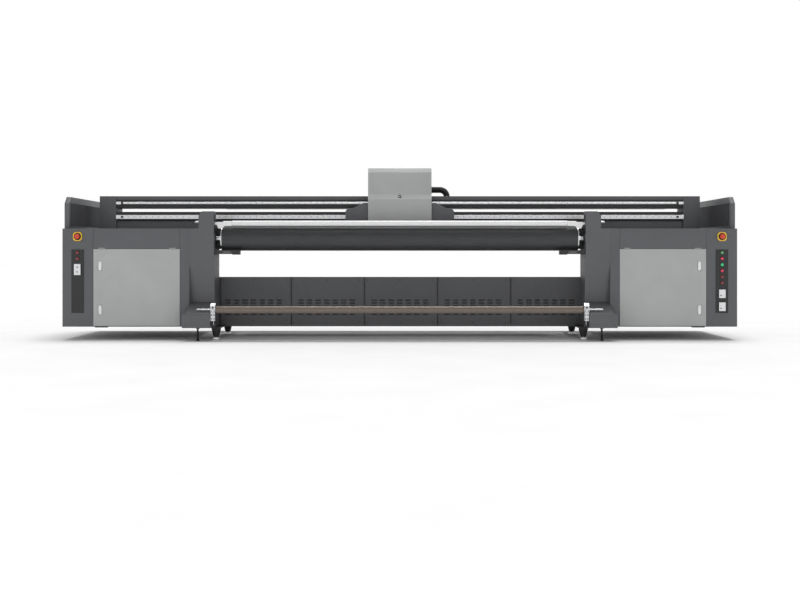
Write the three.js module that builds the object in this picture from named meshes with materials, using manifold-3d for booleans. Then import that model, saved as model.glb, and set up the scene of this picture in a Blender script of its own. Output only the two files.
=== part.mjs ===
// Wide hybrid flatbed UV printer: a belt conveyor under a gantry with a print carriage,
// a cabinet at each end, and a take-up shaft with a cardboard core along the front.
//
// Units are millimetres. X runs along the machine and Z up from the floor. Y runs from
// front to back, with 0 at the cabinet fronts, until the last lines centre the machine.

import * as THREE from 'three';
import { mergeVertices } from 'three/addons/utils/BufferGeometryUtils.js';
import Module from 'manifold-3d';

const wasm = await Module();
wasm.setup();

// ---- Clearances and wall thicknesses ----

const seam = 0.3; // left between pieces that touch
const runningGap = 1; // radial, between an axle and the hole it turns in
const cabinetSheet = 6;
const postWall = 12;
const beamWall = 10;
const coverSheet = 4;
const toeSheet = 5;

// ---- Layout along X, as distances from the machine's centre ----

const rollerFace = 3324; // length of the conveyor rollers and width of the belt
const rollerToPost = 68;
const postWidth = 227;
const jambWidth = 89;
const doorWidth = 804;
const columnWidth = 290; // control column, outboard of the door

const rollerEnd = rollerFace / 2;
const postInner = rollerEnd + rollerToPost;
const cabinetInner = postInner + postWidth;
const doorInner = cabinetInner + jambWidth;
const doorOuter = doorInner + doorWidth;
const halfLength = doorOuter + columnWidth;
const columnCentre = doorOuter + columnWidth / 2;

// ---- Layout along Y ----

const machineDepth = 1250;
const toeReach = 200; // toe boxes stand this far in front of the cabinets
const postDepth = 320;
const rearInset = 10; // frame and rear cover stop short of the cabinet backs

// ---- Layout along Z ----

const groundClearance = 123;
const cabinetHeight = 914;
const headerHeight = 191; // from the top of a door to the top of its cabinet
const cabinetTop = groundClearance + cabinetHeight;
const skidThickness = 16;
const skidBottom = groundClearance - seam - skidThickness;

// ---- Conveyor ----

const beltRadius = 110; // outside of the belt on its rollers
const beltThickness = 5;
const rollerRadius = beltRadius - beltThickness - runningGap;
const beltStandsProud = 16; // belt surface above the cabinet tops
const rollerHeight = cabinetTop + beltStandsProud - beltRadius; // centre of both conveyor rollers
const frontRollerY = 120;
const rearRollerY = machineDepth - 130;
const rollerFlange = 8;
const axleRadius = 23.5;
const axleGrip = 40; // how far an axle reaches into the post or arm that carries it
const beltTop = rollerHeight + beltRadius;
const platenThickness = 47;
const platenTop = beltTop - beltThickness - runningGap;

// ---- Guide roller over the front of the belt ----

const guideRadius = 25;
const guideAxleRadius = 10;
const guideY = 60;
const guideHeight = beltTop + 34;
const guideEnd = postInner - 23;

// ---- Gantry ----

const supportInset = 350; // from the cabinet's outer side to an end support's inner side
const gantryHalf = halfLength - supportInset;
const supportWidth = 163;
const beamFront = 610;
const beamDepth = 240;
const lowerBeamBottom = beltTop + 77;
const lowerBeamHeight = 85;
const beamSlit = 37;
const upperBeamHeight = 117;
const lowerBeamTop = lowerBeamBottom + lowerBeamHeight;
const upperBeamBottom = lowerBeamTop + beamSlit;
const gantryTop = upperBeamBottom + upperBeamHeight;
const railDepth = 20;
const upperRail = { bottom: upperBeamBottom + 38, height: 21 };
const lowerRail = { bottom: lowerBeamBottom + 14, height: 40 };
const apronDepth = 60;

// ---- Carriage ----

const carriageHalf = 306;
const coverBottom = beltTop + 61;
const coverTop = coverBottom + 515;
const coverFront = 350;
const coverSetback = 30;
const coverBack = beamFront + beamDepth + 110;
const overBeam = 61; // cover's rear part stands this far above the gantry
const coverSkirt = 40; // and reaches this much further down behind it
const coverToSlider = 2;
const sliderPlate = 25;
const sliderHalf = 300;
const railClearance = 0.75;
const lampWidth = 217;
const lampHeight = 178;
const hoseRadius = 30;
const trayHeight = 60;
const trayWidth = 96;
const traySheet = 3;

// ---- Take-up shaft ----

const shaftY = -150;
const shaftHeight = 290;
const coreRadius = 34;
const coreWall = 8;
const journalRadius = 9;
const journalEnd = postInner + 131;
const chuckWidth = 45;

// ---- Doors and controls ----

const doorThickness = 22;
const doorSkin = 4;
const doorGap = 3;
const doorBottom = groundClearance + 7;
const doorHeight = cabinetTop - headerHeight - doorBottom;
const doorStop = 30; // how far the cabinet's rebate reaches behind the door's edge
const latch = { width: 28, height: 86, thickness: 6, inset: 62, clearance: 2.5 };
const latchHeights = { upper: doorBottom + doorHeight - 114, lower: doorBottom + 193 };
const buttonPitch = 56;
const button = { capRadius: 15, stemRadius: 11, proud: 14, cap: 6, reach: 20 };
const topButton = cabinetTop - 225;
const eStop = { capRadius: 24, stemRadius: 12, proud: 34, cap: 16, reach: 20, drop: 75 };
const rocker = { width: 60, thickness: 7, proud: 17, stemRadius: 9, holeRadius: 14, reach: 16 };

// ---- Finishes ----

function finish(color, roughness, metalness) {
  return new THREE.MeshStandardMaterial({ color, roughness, metalness });
}

const darkPaint = finish(0x626264, 0.55, 0.2);
const lightPaint = finish(0xa3a5a4, 0.5, 0.2);
const blackPaint = finish(0x2b2b2d, 0.6, 0.2);
const beltRubber = finish(0x2f3032, 0.7, 0);
const bareSteel = finish(0xb9bbbd, 0.3, 0.9);
const aluminium = finish(0xd2d4d6, 0.35, 0.8);
const cardboard = finish(0x8d7f72, 0.85, 0);
const hoseRubber = finish(0x252527, 0.6, 0);
const redPlastic = finish(0xb3151b, 0.4, 0);
const greenPlastic = finish(0x1c9a53, 0.4, 0);
const whitePlastic = finish(0xe9e9e9, 0.4, 0);

// ---- Shape helpers ----

const sides = [
  { name: 'left', sign: -1 },
  { name: 'right', sign: 1 },
];
const unitX = new THREE.Vector3(1, 0, 0);
const unitY = new THREE.Vector3(0, 1, 0);
const unitZ = new THREE.Vector3(0, 0, 1);
const roundSides = 32;
const smallSides = 16;

/** Box between two limits on each axis, given in either order. */
function boxBetween(...spans) {
  const sizes = spans.map(([from, to]) => Math.abs(to - from));
  const middles = spans.map(([from, to]) => (from + to) / 2);
  return new THREE.BoxGeometry(...sizes).translate(...middles);
}

/** Limits on X for one side of the machine, from distances off its centre. */
function across(side, inner, outer) {
  return [side.sign * inner, side.sign * outer];
}

function outline(points) {
  return new THREE.Shape(points.map(([a, b]) => new THREE.Vector2(a, b)));
}

/** Prism along X, from an outline given as [y, z] points or as a Shape. */
function prismX(shape, [from, to]) {
  const section = shape instanceof THREE.Shape ? shape : outline(shape);
  const options = { depth: Math.abs(to - from), bevelEnabled: false, curveSegments: 10 };
  const turn = new THREE.Matrix4().makeBasis(unitY, unitZ, unitX);
  return new THREE.ExtrudeGeometry(section, options)
    .applyMatrix4(turn)
    .translate(Math.min(from, to), 0, 0);
}

/** Prism along Y, from an outline given as [x, z] points. */
function prismY(points, [from, to]) {
  const options = { depth: Math.abs(to - from), bevelEnabled: false };
  const turn = new THREE.Matrix4().makeBasis(unitX, unitZ, unitY.clone().negate());
  return new THREE.ExtrudeGeometry(outline(points), options)
    .applyMatrix4(turn)
    .translate(0, Math.max(from, to), 0);
}

/** Round solid about Y, from [distance along Y, radius] points. */
function turnedY(profile, segments = roundSides) {
  const points = profile.map(([along, radius]) => new THREE.Vector2(radius, along));
  return new THREE.LatheGeometry(points, segments);
}

function turnedX(profile, segments = roundSides) {
  return turnedY(profile, segments).rotateZ(-Math.PI / 2);
}

function turnedZ(profile, segments = roundSides) {
  return turnedY(profile, segments).rotateX(Math.PI / 2);
}

/** Six times the volume inside the faces; negative where they are turned inwards. */
function signedVolume(corners, faces) {
  const [a, b, c] = [new THREE.Vector3(), new THREE.Vector3(), new THREE.Vector3()];
  return faces.reduce((sum, [i, j, k]) => {
    a.fromArray(corners, 3 * i);
    b.fromArray(corners, 3 * j);
    c.fromArray(corners, 3 * k);
    return sum + a.dot(b.cross(c));
  }, 0);
}

/** Manifold solid from a closed geometry, with shared corners joined and faces turned outwards. */
function toSolid(geometry) {
  const bare = geometry.clone();
  bare.deleteAttribute('normal');
  bare.deleteAttribute('uv');
  const joined = mergeVertices(bare, 1e-3);
  const corners = Float32Array.from(joined.getAttribute('position').array);
  const index = joined.getIndex().array;
  const faces = [];
  for (let i = 0; i < index.length; i += 3) {
    const face = [index[i], index[i + 1], index[i + 2]];
    if (new Set(face).size === 3) {
      faces.push(face);
    }
  }
  if (signedVolume(corners, faces) < 0) {
    faces.forEach((face) => face.reverse());
  }
  const triVerts = Uint32Array.from(faces.flat());
  return new wasm.Manifold(new wasm.Mesh({ numProp: 3, vertProperties: corners, triVerts }));
}

function joinAll(...geometries) {
  return geometries.map(toSolid).reduce((whole, part) => whole.add(part));
}

function cutAll(solid, ...tools) {
  return tools.map(toSolid).reduce((rest, tool) => rest.subtract(tool), solid);
}

/** Named mesh from a geometry or a solid, with its own middle as its local origin. */
function piece(name, shape, material) {
  const solid = shape.isBufferGeometry ? toSolid(shape) : shape;
  const { vertProperties, triVerts } = solid.getMesh();
  const geometry = new THREE.BufferGeometry();
  geometry.setAttribute('position', new THREE.BufferAttribute(vertProperties, 3));
  geometry.setIndex(new THREE.BufferAttribute(triVerts, 1));
  geometry.computeBoundingBox();
  const middle = geometry.boundingBox.getCenter(new THREE.Vector3());
  geometry.translate(-middle.x, -middle.y, -middle.z);
  geometry.computeVertexNormals();
  const mesh = new THREE.Mesh(geometry, material.clone());
  mesh.name = name;
  mesh.position.copy(middle);
  return mesh;
}

function groupOf(...members) {
  const group = new THREE.Group();
  group.add(...members.flat());
  return group;
}

// ---- Base frame, feet and lower covers ----

const skid = { inner: postInner - 57, outer: postInner + 29, front: 10, railHeight: 60 };
const sidePlateInner = cabinetInner - 28;
const frameFront = postDepth + 21;
const frameBack = machineDepth - rearInset;
const crossBeam = { depth: 100, height: 120 };
const ventPanel = { bottom: skidBottom, top: 580, thickness: 18 };
const topRail = { depth: 40, height: 60, drop: 20 }; // vent panels hang on it, 20 below their tops
const rearArm = { front: 80, back: 100, below: 90, above: 80 }; // round the rear roller's axle
const platenShelf = { front: 420, back: 820, height: 60 };

function baseFrame() {
  const full = [-cabinetInner + seam, cabinetInner - seam];
  const bottom = groundClearance + seam;
  const beamHeight = [bottom, bottom + crossBeam.height];
  const rearBeamBack = frameBack - topRail.depth;
  const railTop = ventPanel.top - topRail.drop;
  const shelfTop = platenTop - platenThickness - seam;
  const members = [
    boxBetween(full, [frameFront, frameFront + crossBeam.depth], beamHeight),
    boxBetween(full, [rearBeamBack - crossBeam.depth, rearBeamBack], beamHeight),
    boxBetween(full, [frameFront, frameFront + topRail.depth], [railTop - topRail.height, railTop]),
  ];
  const axleBores = [];
  for (const side of sides) {
    const plate = across(side, sidePlateInner, cabinetInner - seam);
    const arm = across(side, postInner + seam, cabinetInner - seam);
    const shelf = across(side, rollerEnd + 10, cabinetInner - seam);
    const skidSpan = across(side, skid.inner, skid.outer);
    members.push(
      boxBetween(plate, [frameFront, frameBack], [bottom, rollerHeight + rearArm.above]),
      boxBetween(skidSpan, [skid.front, rearBeamBack], [skidBottom, groundClearance - seam]),
      boxBetween(skidSpan, [frameFront, rearBeamBack], [skidBottom, bottom + skid.railHeight]),
      boxBetween(
        arm,
        [rearRollerY - rearArm.front, rearRollerY + rearArm.back],
        [rollerHeight - rearArm.below, rollerHeight + rearArm.above],
      ),
      boxBetween(
        shelf,
        [platenShelf.front, platenShelf.back],
        [shelfTop - platenShelf.height, shelfTop],
      ),
    );
    const boreFrom = side.sign * (postInner - 1);
    const boreTo = side.sign * (postInner + axleGrip + 1);
    axleBores.push(borehole(boreFrom, boreTo, rearRollerY, rollerHeight, axleRadius + runningGap));
  }
  return piece('base_frame', cutAll(joinAll(...members), ...axleBores), darkPaint);
}

/** Round tool along X that cuts the hole an axle turns in. */
function borehole(fromX, toX, y, z, radius) {
  const [low, high] = [Math.min(fromX, toX), Math.max(fromX, toX)];
  return turnedX([[low, 0], [low, radius], [high, radius], [high, 0]]).translate(0, y, z);
}

const footSpots = { front: 60, rear: 760 };
const foot = { padRadius: 42, padHeight: 12, neckRadius: 20, headRadius: 36 };

function feet() {
  const top = skidBottom - seam;
  const profile = [
    [0, 0],
    [0, foot.padRadius],
    [foot.padHeight, foot.padRadius],
    [foot.padHeight + 6, foot.neckRadius],
    [foot.padHeight + 22, foot.neckRadius],
    [top - 40, foot.headRadius],
    [top, foot.headRadius],
    [top, 0],
  ];
  const middle = (skid.inner + skid.outer) / 2;
  return sides.flatMap((side) =>
    Object.entries(footSpots).map(([row, y]) => {
      const shape = turnedZ(profile, 24).translate(side.sign * middle, y, 0);
      return piece(`${row}_${side.name}_foot`, shape, blackPaint);
    }),
  );
}

const postTop = cabinetTop + 160;
const postChamfer = { fromX: cabinetInner - 85, fromZ: postTop - 38, toX: cabinetInner - 117 };
const postHead = { bottom: rollerHeight + 47, depth: 120 }; // the post is shallower beside the guide roller
const postSlope = { startZ: cabinetTop - 322, endZ: groundClearance + 230, recess: 72 };

/** Column beside the conveyor that carries the front roller and the guide roller. */
function endPost(side) {
  const outerX = cabinetInner - seam;
  const frontView = [
    [postInner, groundClearance],
    [outerX, groundClearance],
    [outerX, cabinetTop],
    [postChamfer.fromX, cabinetTop],
    [postChamfer.fromX, postChamfer.fromZ],
    [postChamfer.toX, postTop],
    [postInner, postTop],
  ].map(([x, z]) => [side.sign * x, z]);
  const sideView = [
    [postSlope.recess, groundClearance],
    [postDepth, groundClearance],
    [postDepth, postHead.bottom],
    [postHead.depth, postHead.bottom],
    [postHead.depth, postTop],
    [0, postTop],
    [0, postSlope.startZ],
    [postSlope.recess, postSlope.endZ],
  ];
  const column = toSolid(prismY(frontView, [0, postDepth]))
    .intersect(toSolid(prismX(sideView, across(side, postInner, outerX))));
  const hollowX = across(side, postInner + postWall, postChamfer.toX - postWall);
  const hollowFront = postSlope.recess + postWall;
  const lowerHollow = boxBetween(
    hollowX,
    [hollowFront, postDepth - postWall],
    [groundClearance - 1, postHead.bottom - postWall],
  );
  const upperHollow = boxBetween(
    hollowX,
    [hollowFront, postHead.depth - postWall],
    [groundClearance - 1, postTop - postWall],
  );
  const wallFrom = side.sign * (postInner - 1);
  const wallTo = side.sign * (postInner + axleGrip + 1);
  const holes = [
    borehole(wallFrom, wallTo, frontRollerY, rollerHeight, axleRadius + runningGap),
    borehole(wallFrom, wallTo, guideY, guideHeight, guideAxleRadius + runningGap),
  ];
  return piece(`${side.name}_end_post`, cutAll(column, lowerHollow, upperHollow, ...holes), darkPaint);
}

const toeTop = groundClearance + 128;
const toeOverlap = 32; // toe box runs this far past the seam between post and cabinet

/** Low housing of the take-up drive, with a ledge that slopes up into the post's recess. */
function toeBox(side) {
  const back = postSlope.recess - seam;
  const wedge = [
    [-toeReach, groundClearance],
    [back, groundClearance],
    [back, postSlope.endZ],
    [-toeReach, toeTop],
  ];
  const inside = [
    [-toeReach + toeSheet, groundClearance - 1],
    [back - toeSheet, groundClearance - 1],
    [back - toeSheet, postSlope.endZ - 2 * toeSheet],
    [-toeReach + toeSheet, toeTop - toeSheet],
  ];
  const inner = postInner + seam;
  const outer = cabinetInner + toeOverlap;
  const front = [-toeReach, -seam];
  const shell = joinAll(
    prismX(wedge, across(side, inner, cabinetInner - seam)),
    boxBetween(across(side, cabinetInner - 20, outer), front, [groundClearance, toeTop]),
  );
  const hollow = prismX(inside, across(side, inner + toeSheet, cabinetInner - 20 - toeSheet));
  return piece(`${side.name}_toe_box`, cutAll(shell, hollow), darkPaint);
}

const ventPanelCount = 5;
const ventPitch = (2 * postInner + 45) / ventPanelCount; // the outermost panels are a little narrower

function ventPanels() {
  return Array.from({ length: ventPanelCount }, (_, i) => {
    const from = (i - ventPanelCount / 2) * ventPitch;
    const limit = postInner - seam;
    const shape = boxBetween(
      [Math.max(from + seam, -limit), Math.min(from + ventPitch - seam, limit)],
      [postDepth + seam, postDepth + ventPanel.thickness],
      [skidTopClear(i), ventPanel.top],
    );
    return piece(`vent_panel_${i + 1}`, shape, blackPaint);
  });
}

/** The outermost panels end above the skids that pass under them. */
function skidTopClear(index) {
  const overSkid = index === 0 || index === ventPanelCount - 1;
  return overSkid ? groundClearance : ventPanel.bottom;
}

function rearCover() {
  const width = [-sidePlateInner + seam, sidePlateInner - seam];
  const shape = boxBetween(width, [frameBack - 12, frameBack], [groundClearance, 540]);
  return piece('rear_cover', shape, darkPaint);
}

// ---- Cabinets ----

const columnControls = {
  left: { buttons: 2, rockers: [{ name: 'left_switch', height: 102, drop: 382 }] },
  right: {
    buttons: 6,
    rockers: [
      { name: 'right_upper_switch', height: 78, drop: 607 },
      { name: 'right_lower_switch', height: 80, drop: 727 },
    ],
  },
};

/** Round tool along Y through a cabinet's front sheet. */
function frontHole(side, z, radius) {
  const length = 4 * cabinetSheet;
  return new THREE.CylinderGeometry(radius, radius, length, smallSides)
    .translate(side.sign * columnCentre, 0, z);
}

function buttonHeight(index) {
  return topButton - index * buttonPitch;
}

function cabinet(side) {
  const controls = columnControls[side.name];
  const depth = [0, machineDepth];
  const shell = toSolid(
    boxBetween(across(side, cabinetInner, halfLength), depth, [groundClearance, cabinetTop]),
  );
  const hollow = boxBetween(
    across(side, cabinetInner + cabinetSheet, halfLength - cabinetSheet),
    [cabinetSheet, machineDepth - cabinetSheet],
    [groundClearance + cabinetSheet, cabinetTop - cabinetSheet],
  );
  const rebate = boxBetween(
    across(side, doorInner - doorGap - cabinetSheet, doorOuter + doorGap + cabinetSheet),
    [cabinetSheet / 2, doorThickness + 3 * cabinetSheet],
    [groundClearance + cabinetSheet / 2, doorBottom + doorHeight + doorGap + cabinetSheet],
  );
  const doorSeat = boxBetween(
    across(side, doorInner - doorGap, doorOuter + doorGap),
    [-1, doorThickness + 2],
    [doorBottom - doorGap, doorBottom + doorHeight + doorGap],
  );
  const doorway = boxBetween(
    across(side, doorInner + doorStop, doorOuter - doorStop),
    [-1, doorThickness + 4 * cabinetSheet],
    [doorBottom + doorStop, doorBottom + doorHeight - doorStop],
  );
  const walls = cutAll(shell, hollow).add(toSolid(rebate));
  const holes = [
    frontHole(side, cabinetTop - eStop.drop, eStop.stemRadius + runningGap),
    ...Array.from({ length: controls.buttons }, (_, i) =>
      frontHole(side, buttonHeight(i), button.stemRadius + runningGap),
    ),
    ...controls.rockers.map(({ drop }) => frontHole(side, cabinetTop - drop, rocker.holeRadius)),
  ];
  const name = `${side.name}_cabinet`;
  return piece(name, cutAll(walls, doorSeat, doorway, ...holes), darkPaint);
}

/** Sheet-metal door: a skin with a folded rim, and a hole in the skin for each latch. */
function door(side) {
  const height = [doorBottom, doorBottom + doorHeight];
  const slab = toSolid(
    boxBetween(across(side, doorInner, doorOuter), [0, doorThickness], height),
  );
  const rim = 14;
  const pan = boxBetween(
    across(side, doorInner + rim, doorOuter - rim),
    [doorSkin, doorThickness + 1],
    [height[0] + rim, height[1] - rim],
  );
  const latchHoles = Object.values(latchHeights).map((z) => {
    const half = latch.width / 2 + latch.clearance;
    const middle = doorOuter - latch.inset;
    const reach = latch.height + latch.clearance;
    return boxBetween(
      across(side, middle - half, middle + half),
      [-1, doorSkin + 1],
      [z - reach, z + latch.clearance],
    );
  });
  return piece(`${side.name}_door`, cutAll(slab, pan, ...latchHoles), lightPaint);
}

/** Flush paddle latches; each one's height is that of its pivot, at its top edge. */
function doorLatches(side) {
  return Object.entries(latchHeights).map(([row, z]) => {
    const middle = side.sign * (doorOuter - latch.inset);
    const shape = new THREE.BoxGeometry(latch.width, latch.thickness, latch.height)
      .translate(middle, seam + latch.thickness / 2, z - latch.height / 2);
    return piece(`${side.name}_${row}_latch`, shape, whitePlastic);
  });
}

/** Push button: a cap in front of the panel and a stem through it. */
function pushButton(name, x, z, size, material) {
  const shape = turnedY([
    [-size.proud, 0],
    [-size.proud, size.capRadius * 0.8],
    [-size.proud + size.cap / 3, size.capRadius],
    [-size.proud + size.cap, size.capRadius],
    [-size.proud + size.cap, size.stemRadius],
    [size.reach, size.stemRadius],
    [size.reach, 0],
  ], smallSides);
  return piece(name, shape.translate(x, 0, z), material);
}

function rockerSwitch({ name, height, drop }, x) {
  const half = height / 2;
  const back = -rocker.proud + rocker.thickness;
  const plate = boxBetween(
    [-rocker.width / 2, rocker.width / 2],
    [-rocker.proud, back],
    [-half, half],
  );
  const stem = turnedY([
    [back - 1, 0],
    [back - 1, rocker.stemRadius],
    [rocker.reach, rocker.stemRadius],
    [rocker.reach, 0],
  ], smallSides);
  const shape = [plate, stem].map((member) => member.translate(x, 0, cabinetTop - drop));
  return piece(name, joinAll(...shape), bareSteel);
}

const buttonColours = {
  left: [redPlastic, redPlastic],
  right: [greenPlastic, redPlastic, greenPlastic, redPlastic, redPlastic, redPlastic],
};

function controlsOn(side) {
  const x = side.sign * columnCentre;
  const { rockers } = columnControls[side.name];
  const stop = pushButton(`${side.name}_e_stop`, x, cabinetTop - eStop.drop, eStop, redPlastic);
  const buttons = buttonColours[side.name].map((material, i) =>
    pushButton(`${side.name}_button_${i + 1}`, x, buttonHeight(i), button, material),
  );
  return [stop, ...buttons, ...rockers.map((each) => rockerSwitch(each, x))];
}

/** Upright side panel on top of a cabinet's outer edge, with its front corner cut off. */
function wingPanel(side) {
  const top = cabinetTop + 300;
  const front = 70;
  const bottom = cabinetTop + seam;
  const profile = [
    [front, bottom],
    [machineDepth - 50, bottom],
    [machineDepth - 50, top],
    [front + 65, top],
    [front, top - 63],
  ];
  const shape = prismX(profile, across(side, halfLength - 45, halfLength));
  return piece(`${side.name}_wing_panel`, shape, darkPaint);
}

// ---- Gantry ----

const beamBack = beamFront + beamDepth;

/** Rectangular tube along X, open at both ends. */
function beamTube(name, bottom, top) {
  const reach = gantryHalf - seam;
  const bar = toSolid(boxBetween([-reach, reach], [beamFront, beamBack], [bottom, top]));
  const bore = boxBetween(
    [-reach - 1, reach + 1],
    [beamFront + beamWall, beamBack - beamWall],
    [bottom + beamWall, top - beamWall],
  );
  return piece(name, cutAll(bar, bore), blackPaint);
}

/** End support on the cabinet, with an apron that fills the space under the beam. */
function gantrySupport(side) {
  const bottom = cabinetTop + seam;
  const leg = boxBetween(
    across(side, gantryHalf, gantryHalf + supportWidth),
    [beamFront - 10, beamBack],
    [bottom, gantryTop],
  );
  const apron = boxBetween(
    across(side, postInner + 21, gantryHalf + 1),
    [beamFront + 30, beamFront + 30 + apronDepth],
    [bottom + 8, lowerBeamBottom - seam],
  );
  return piece(`${side.name}_gantry_support`, joinAll(leg, apron), darkPaint);
}

function rail(name, { bottom, height }) {
  const reach = gantryHalf - seam;
  const depth = [beamFront - railDepth, beamFront - seam];
  return piece(name, boxBetween([-reach, reach], depth, [bottom, bottom + height]), bareSteel);
}

const trayMiddle = beamBack + seam + trayWidth / 2;
const hose = { y: trayMiddle, z: coverTop - 182, run: 99, bend: 68, drop: 69 };
const trayReach = { left: 1750, right: 2680 };

/** Open channel behind the upper beam in which the carriage's cable chain lies. */
function cableTray() {
  const front = beamBack + seam;
  const back = front + trayWidth;
  const bottom = upperBeamBottom;
  const top = bottom + trayHeight;
  const channel = [
    [front, bottom],
    [back, bottom],
    [back, top],
    [back - traySheet, top],
    [back - traySheet, bottom + traySheet],
    [front + traySheet, bottom + traySheet],
    [front + traySheet, top],
    [front, top],
  ];
  return piece('cable_tray', prismX(channel, [-trayReach.left, trayReach.right]), blackPaint);
}

// ---- Carriage ----

const sliderFront = beamFront - railDepth - 40;
const coverRear = sliderFront - coverToSlider;
const headGap = seam + coverSheet;

/** Plate that runs along both rails; a grooved block holds each rail. */
function carriageSlider() {
  const plateBack = sliderFront + sliderPlate;
  const blockBack = beamFront - 10;
  const grooveFront = beamFront - railDepth - railClearance;
  const blockAround = ({ bottom, height }) => [
    [plateBack, bottom - 14],
    [blockBack, bottom - 14],
    [blockBack, bottom - railClearance],
    [grooveFront, bottom - railClearance],
    [grooveFront, bottom + height + railClearance],
    [blockBack, bottom + height + railClearance],
    [blockBack, bottom + height + 14],
    [plateBack, bottom + height + 14],
  ];
  const profile = [
    [sliderFront, lowerRail.bottom - 14],
    ...blockAround(lowerRail),
    ...blockAround(upperRail),
    [sliderFront, upperRail.bottom + upperRail.height + 14],
  ];
  return piece('carriage_slider', prismX(profile, [-sliderHalf, sliderHalf]), aluminium);
}

/** Side view of the cover, drawn inwards by a wall thickness; it is open at the bottom. */
function coverOutline(inset, bottom) {
  const bandTop = coverBottom + 263;
  const bandBottom = coverBottom + 211;
  const shoulder = gantryTop + overBeam + inset;
  return [
    [coverFront + inset, bottom],
    [coverFront + inset, bandBottom],
    [coverFront + coverSetback + inset, bandTop],
    [coverFront + coverSetback + inset, coverTop - 43],
    [coverFront + coverSetback + 35 + inset, coverTop - inset],
    [coverBack - inset, coverTop - inset],
    [coverBack - inset, shoulder - coverSkirt],
    [beamFront + beamDepth + 10 + inset, shoulder - coverSkirt],
    [beamFront + beamDepth + 10 + inset, shoulder],
    [coverRear - inset, shoulder],
    [coverRear - inset, bottom],
  ];
}

function carriageCover() {
  const shell = toSolid(prismX(coverOutline(0, coverBottom), [-carriageHalf, carriageHalf]));
  const inner = carriageHalf - coverSheet;
  const hollow = prismX(coverOutline(coverSheet, coverBottom - 1), [-inner, inner]);
  return piece('carriage_cover', cutAll(shell, hollow), lightPaint);
}

const headRows = 2;
const headColumns = 4;

/** Plate that closes the bottom of the cover and carries the print heads. */
function printHeadPlate() {
  const width = carriageHalf - headGap;
  const plateY = [coverFront + headGap, coverRear - headGap];
  const plate = boxBetween([-width, width], plateY, [coverBottom + 2, coverBottom + 16]);
  const head = { length: 90, depth: 40, pitchX: 140, pitchY: 84 };
  const middleY = (plateY[0] + plateY[1]) / 2;
  const heads = [];
  for (let row = 0; row < headRows; row += 1) {
    for (let column = 0; column < headColumns; column += 1) {
      const x = (column - (headColumns - 1) / 2) * head.pitchX + (row - 0.5) * 40;
      const y = middleY + (row - (headRows - 1) / 2) * head.pitchY;
      heads.push(
        new THREE.BoxGeometry(head.length, head.depth, 12).translate(x, y, coverBottom),
      );
    }
  }
  return piece('print_head_plate', joinAll(plate, ...heads), aluminium);
}

/** Curing lamp housing beside the carriage, with a top that falls away outwards. */
function uvLamp(side) {
  const inner = carriageHalf + seam;
  const outer = inner + lampWidth;
  const top = coverBottom + lampHeight;
  const profile = [
    [inner, coverBottom],
    [outer, coverBottom],
    [outer, top - 78],
    [outer - 22, top - 56],
    [outer - 75, top - 50],
    [outer - 175, top],
    [inner, top],
  ].map(([x, z]) => [side.sign * x, z]);
  const shape = prismY(profile, [coverFront + 20, coverRear]);
  return piece(`${side.name}_uv_lamp`, shape, darkPaint);
}

/** Hose from the cover's right side that bends down into the cable tray. */
function cableElbow() {
  const path = new THREE.CurvePath();
  const start = new THREE.Vector3(carriageHalf + seam, hose.y, hose.z);
  const bendStart = start.clone().add(new THREE.Vector3(hose.run, 0, 0));
  const corner = bendStart.clone().add(new THREE.Vector3(hose.bend, 0, 0));
  const bendEnd = corner.clone().add(new THREE.Vector3(0, 0, -hose.bend));
  const end = bendEnd.clone().add(new THREE.Vector3(0, 0, -hose.drop));
  path.add(new THREE.LineCurve3(start, bendStart));
  path.add(new THREE.QuadraticBezierCurve3(bendStart, corner, bendEnd));
  path.add(new THREE.LineCurve3(bendEnd, end));
  const circle = new THREE.Shape().absarc(0, 0, hoseRadius, 0, 2 * Math.PI, false);
  const options = { steps: 12, curveSegments: 6, bevelEnabled: false, extrudePath: path };
  return piece('cable_elbow', new THREE.ExtrudeGeometry(circle, options), hoseRubber);
}

// ---- Conveyor and take-up ----

/** Closed path round both conveyor rollers at a given radius, in Y and Z. */
function loopPath(PathType, radius) {
  const loop = new PathType();
  loop.absarc(frontRollerY, rollerHeight, radius, Math.PI / 2, 1.5 * Math.PI, false);
  loop.absarc(rearRollerY, rollerHeight, radius, -Math.PI / 2, Math.PI / 2, false);
  loop.closePath();
  return loop;
}

function conveyorBelt() {
  const band = loopPath(THREE.Shape, beltRadius);
  band.holes.push(loopPath(THREE.Path, beltRadius - beltThickness));
  return piece('conveyor_belt', prismX(band, [-rollerEnd, rollerEnd]), beltRubber);
}

function platen() {
  const width = [-postInner + seam, postInner - seam];
  const height = [platenTop - platenThickness, platenTop];
  const depth = [frontRollerY + 125, rearRollerY - 125];
  return piece('platen', boxBetween(width, depth, height), aluminium);
}

/** Roller with an end flange outside each edge of the belt, and an axle at each end. */
function conveyorRoller(name, y) {
  const flangeStart = rollerEnd + 1;
  const flangeEnd = flangeStart + rollerFlange;
  const axleEnd = postInner + axleGrip;
  const half = [
    [rollerEnd - 1, rollerRadius],
    [flangeStart, rollerRadius],
    [flangeStart, beltRadius],
    [flangeEnd, beltRadius],
    [flangeEnd, axleRadius],
    [axleEnd, axleRadius],
    [axleEnd, 0],
  ];
  const shape = turnedX(bothEnds(half)).translate(0, y, rollerHeight);
  return piece(name, shape, aluminium);
}

/** Profile for a turned piece that is the same at both ends, from its right half. */
function bothEnds(half) {
  const mirrored = half.map(([along, radius]) => [-along, radius]).reverse();
  return [...mirrored, ...half];
}

function guideRoller() {
  const axleEnd = postInner + axleGrip;
  const half = [
    [guideEnd, guideRadius],
    [guideEnd, guideAxleRadius],
    [axleEnd, guideAxleRadius],
    [axleEnd, 0],
  ];
  return piece('guide_roller', turnedX(bothEnds(half)).translate(0, guideY, guideHeight), aluminium);
}

const coreEnd = postInner - chuckWidth - 5;
const coreBore = coreRadius - coreWall;

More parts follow.
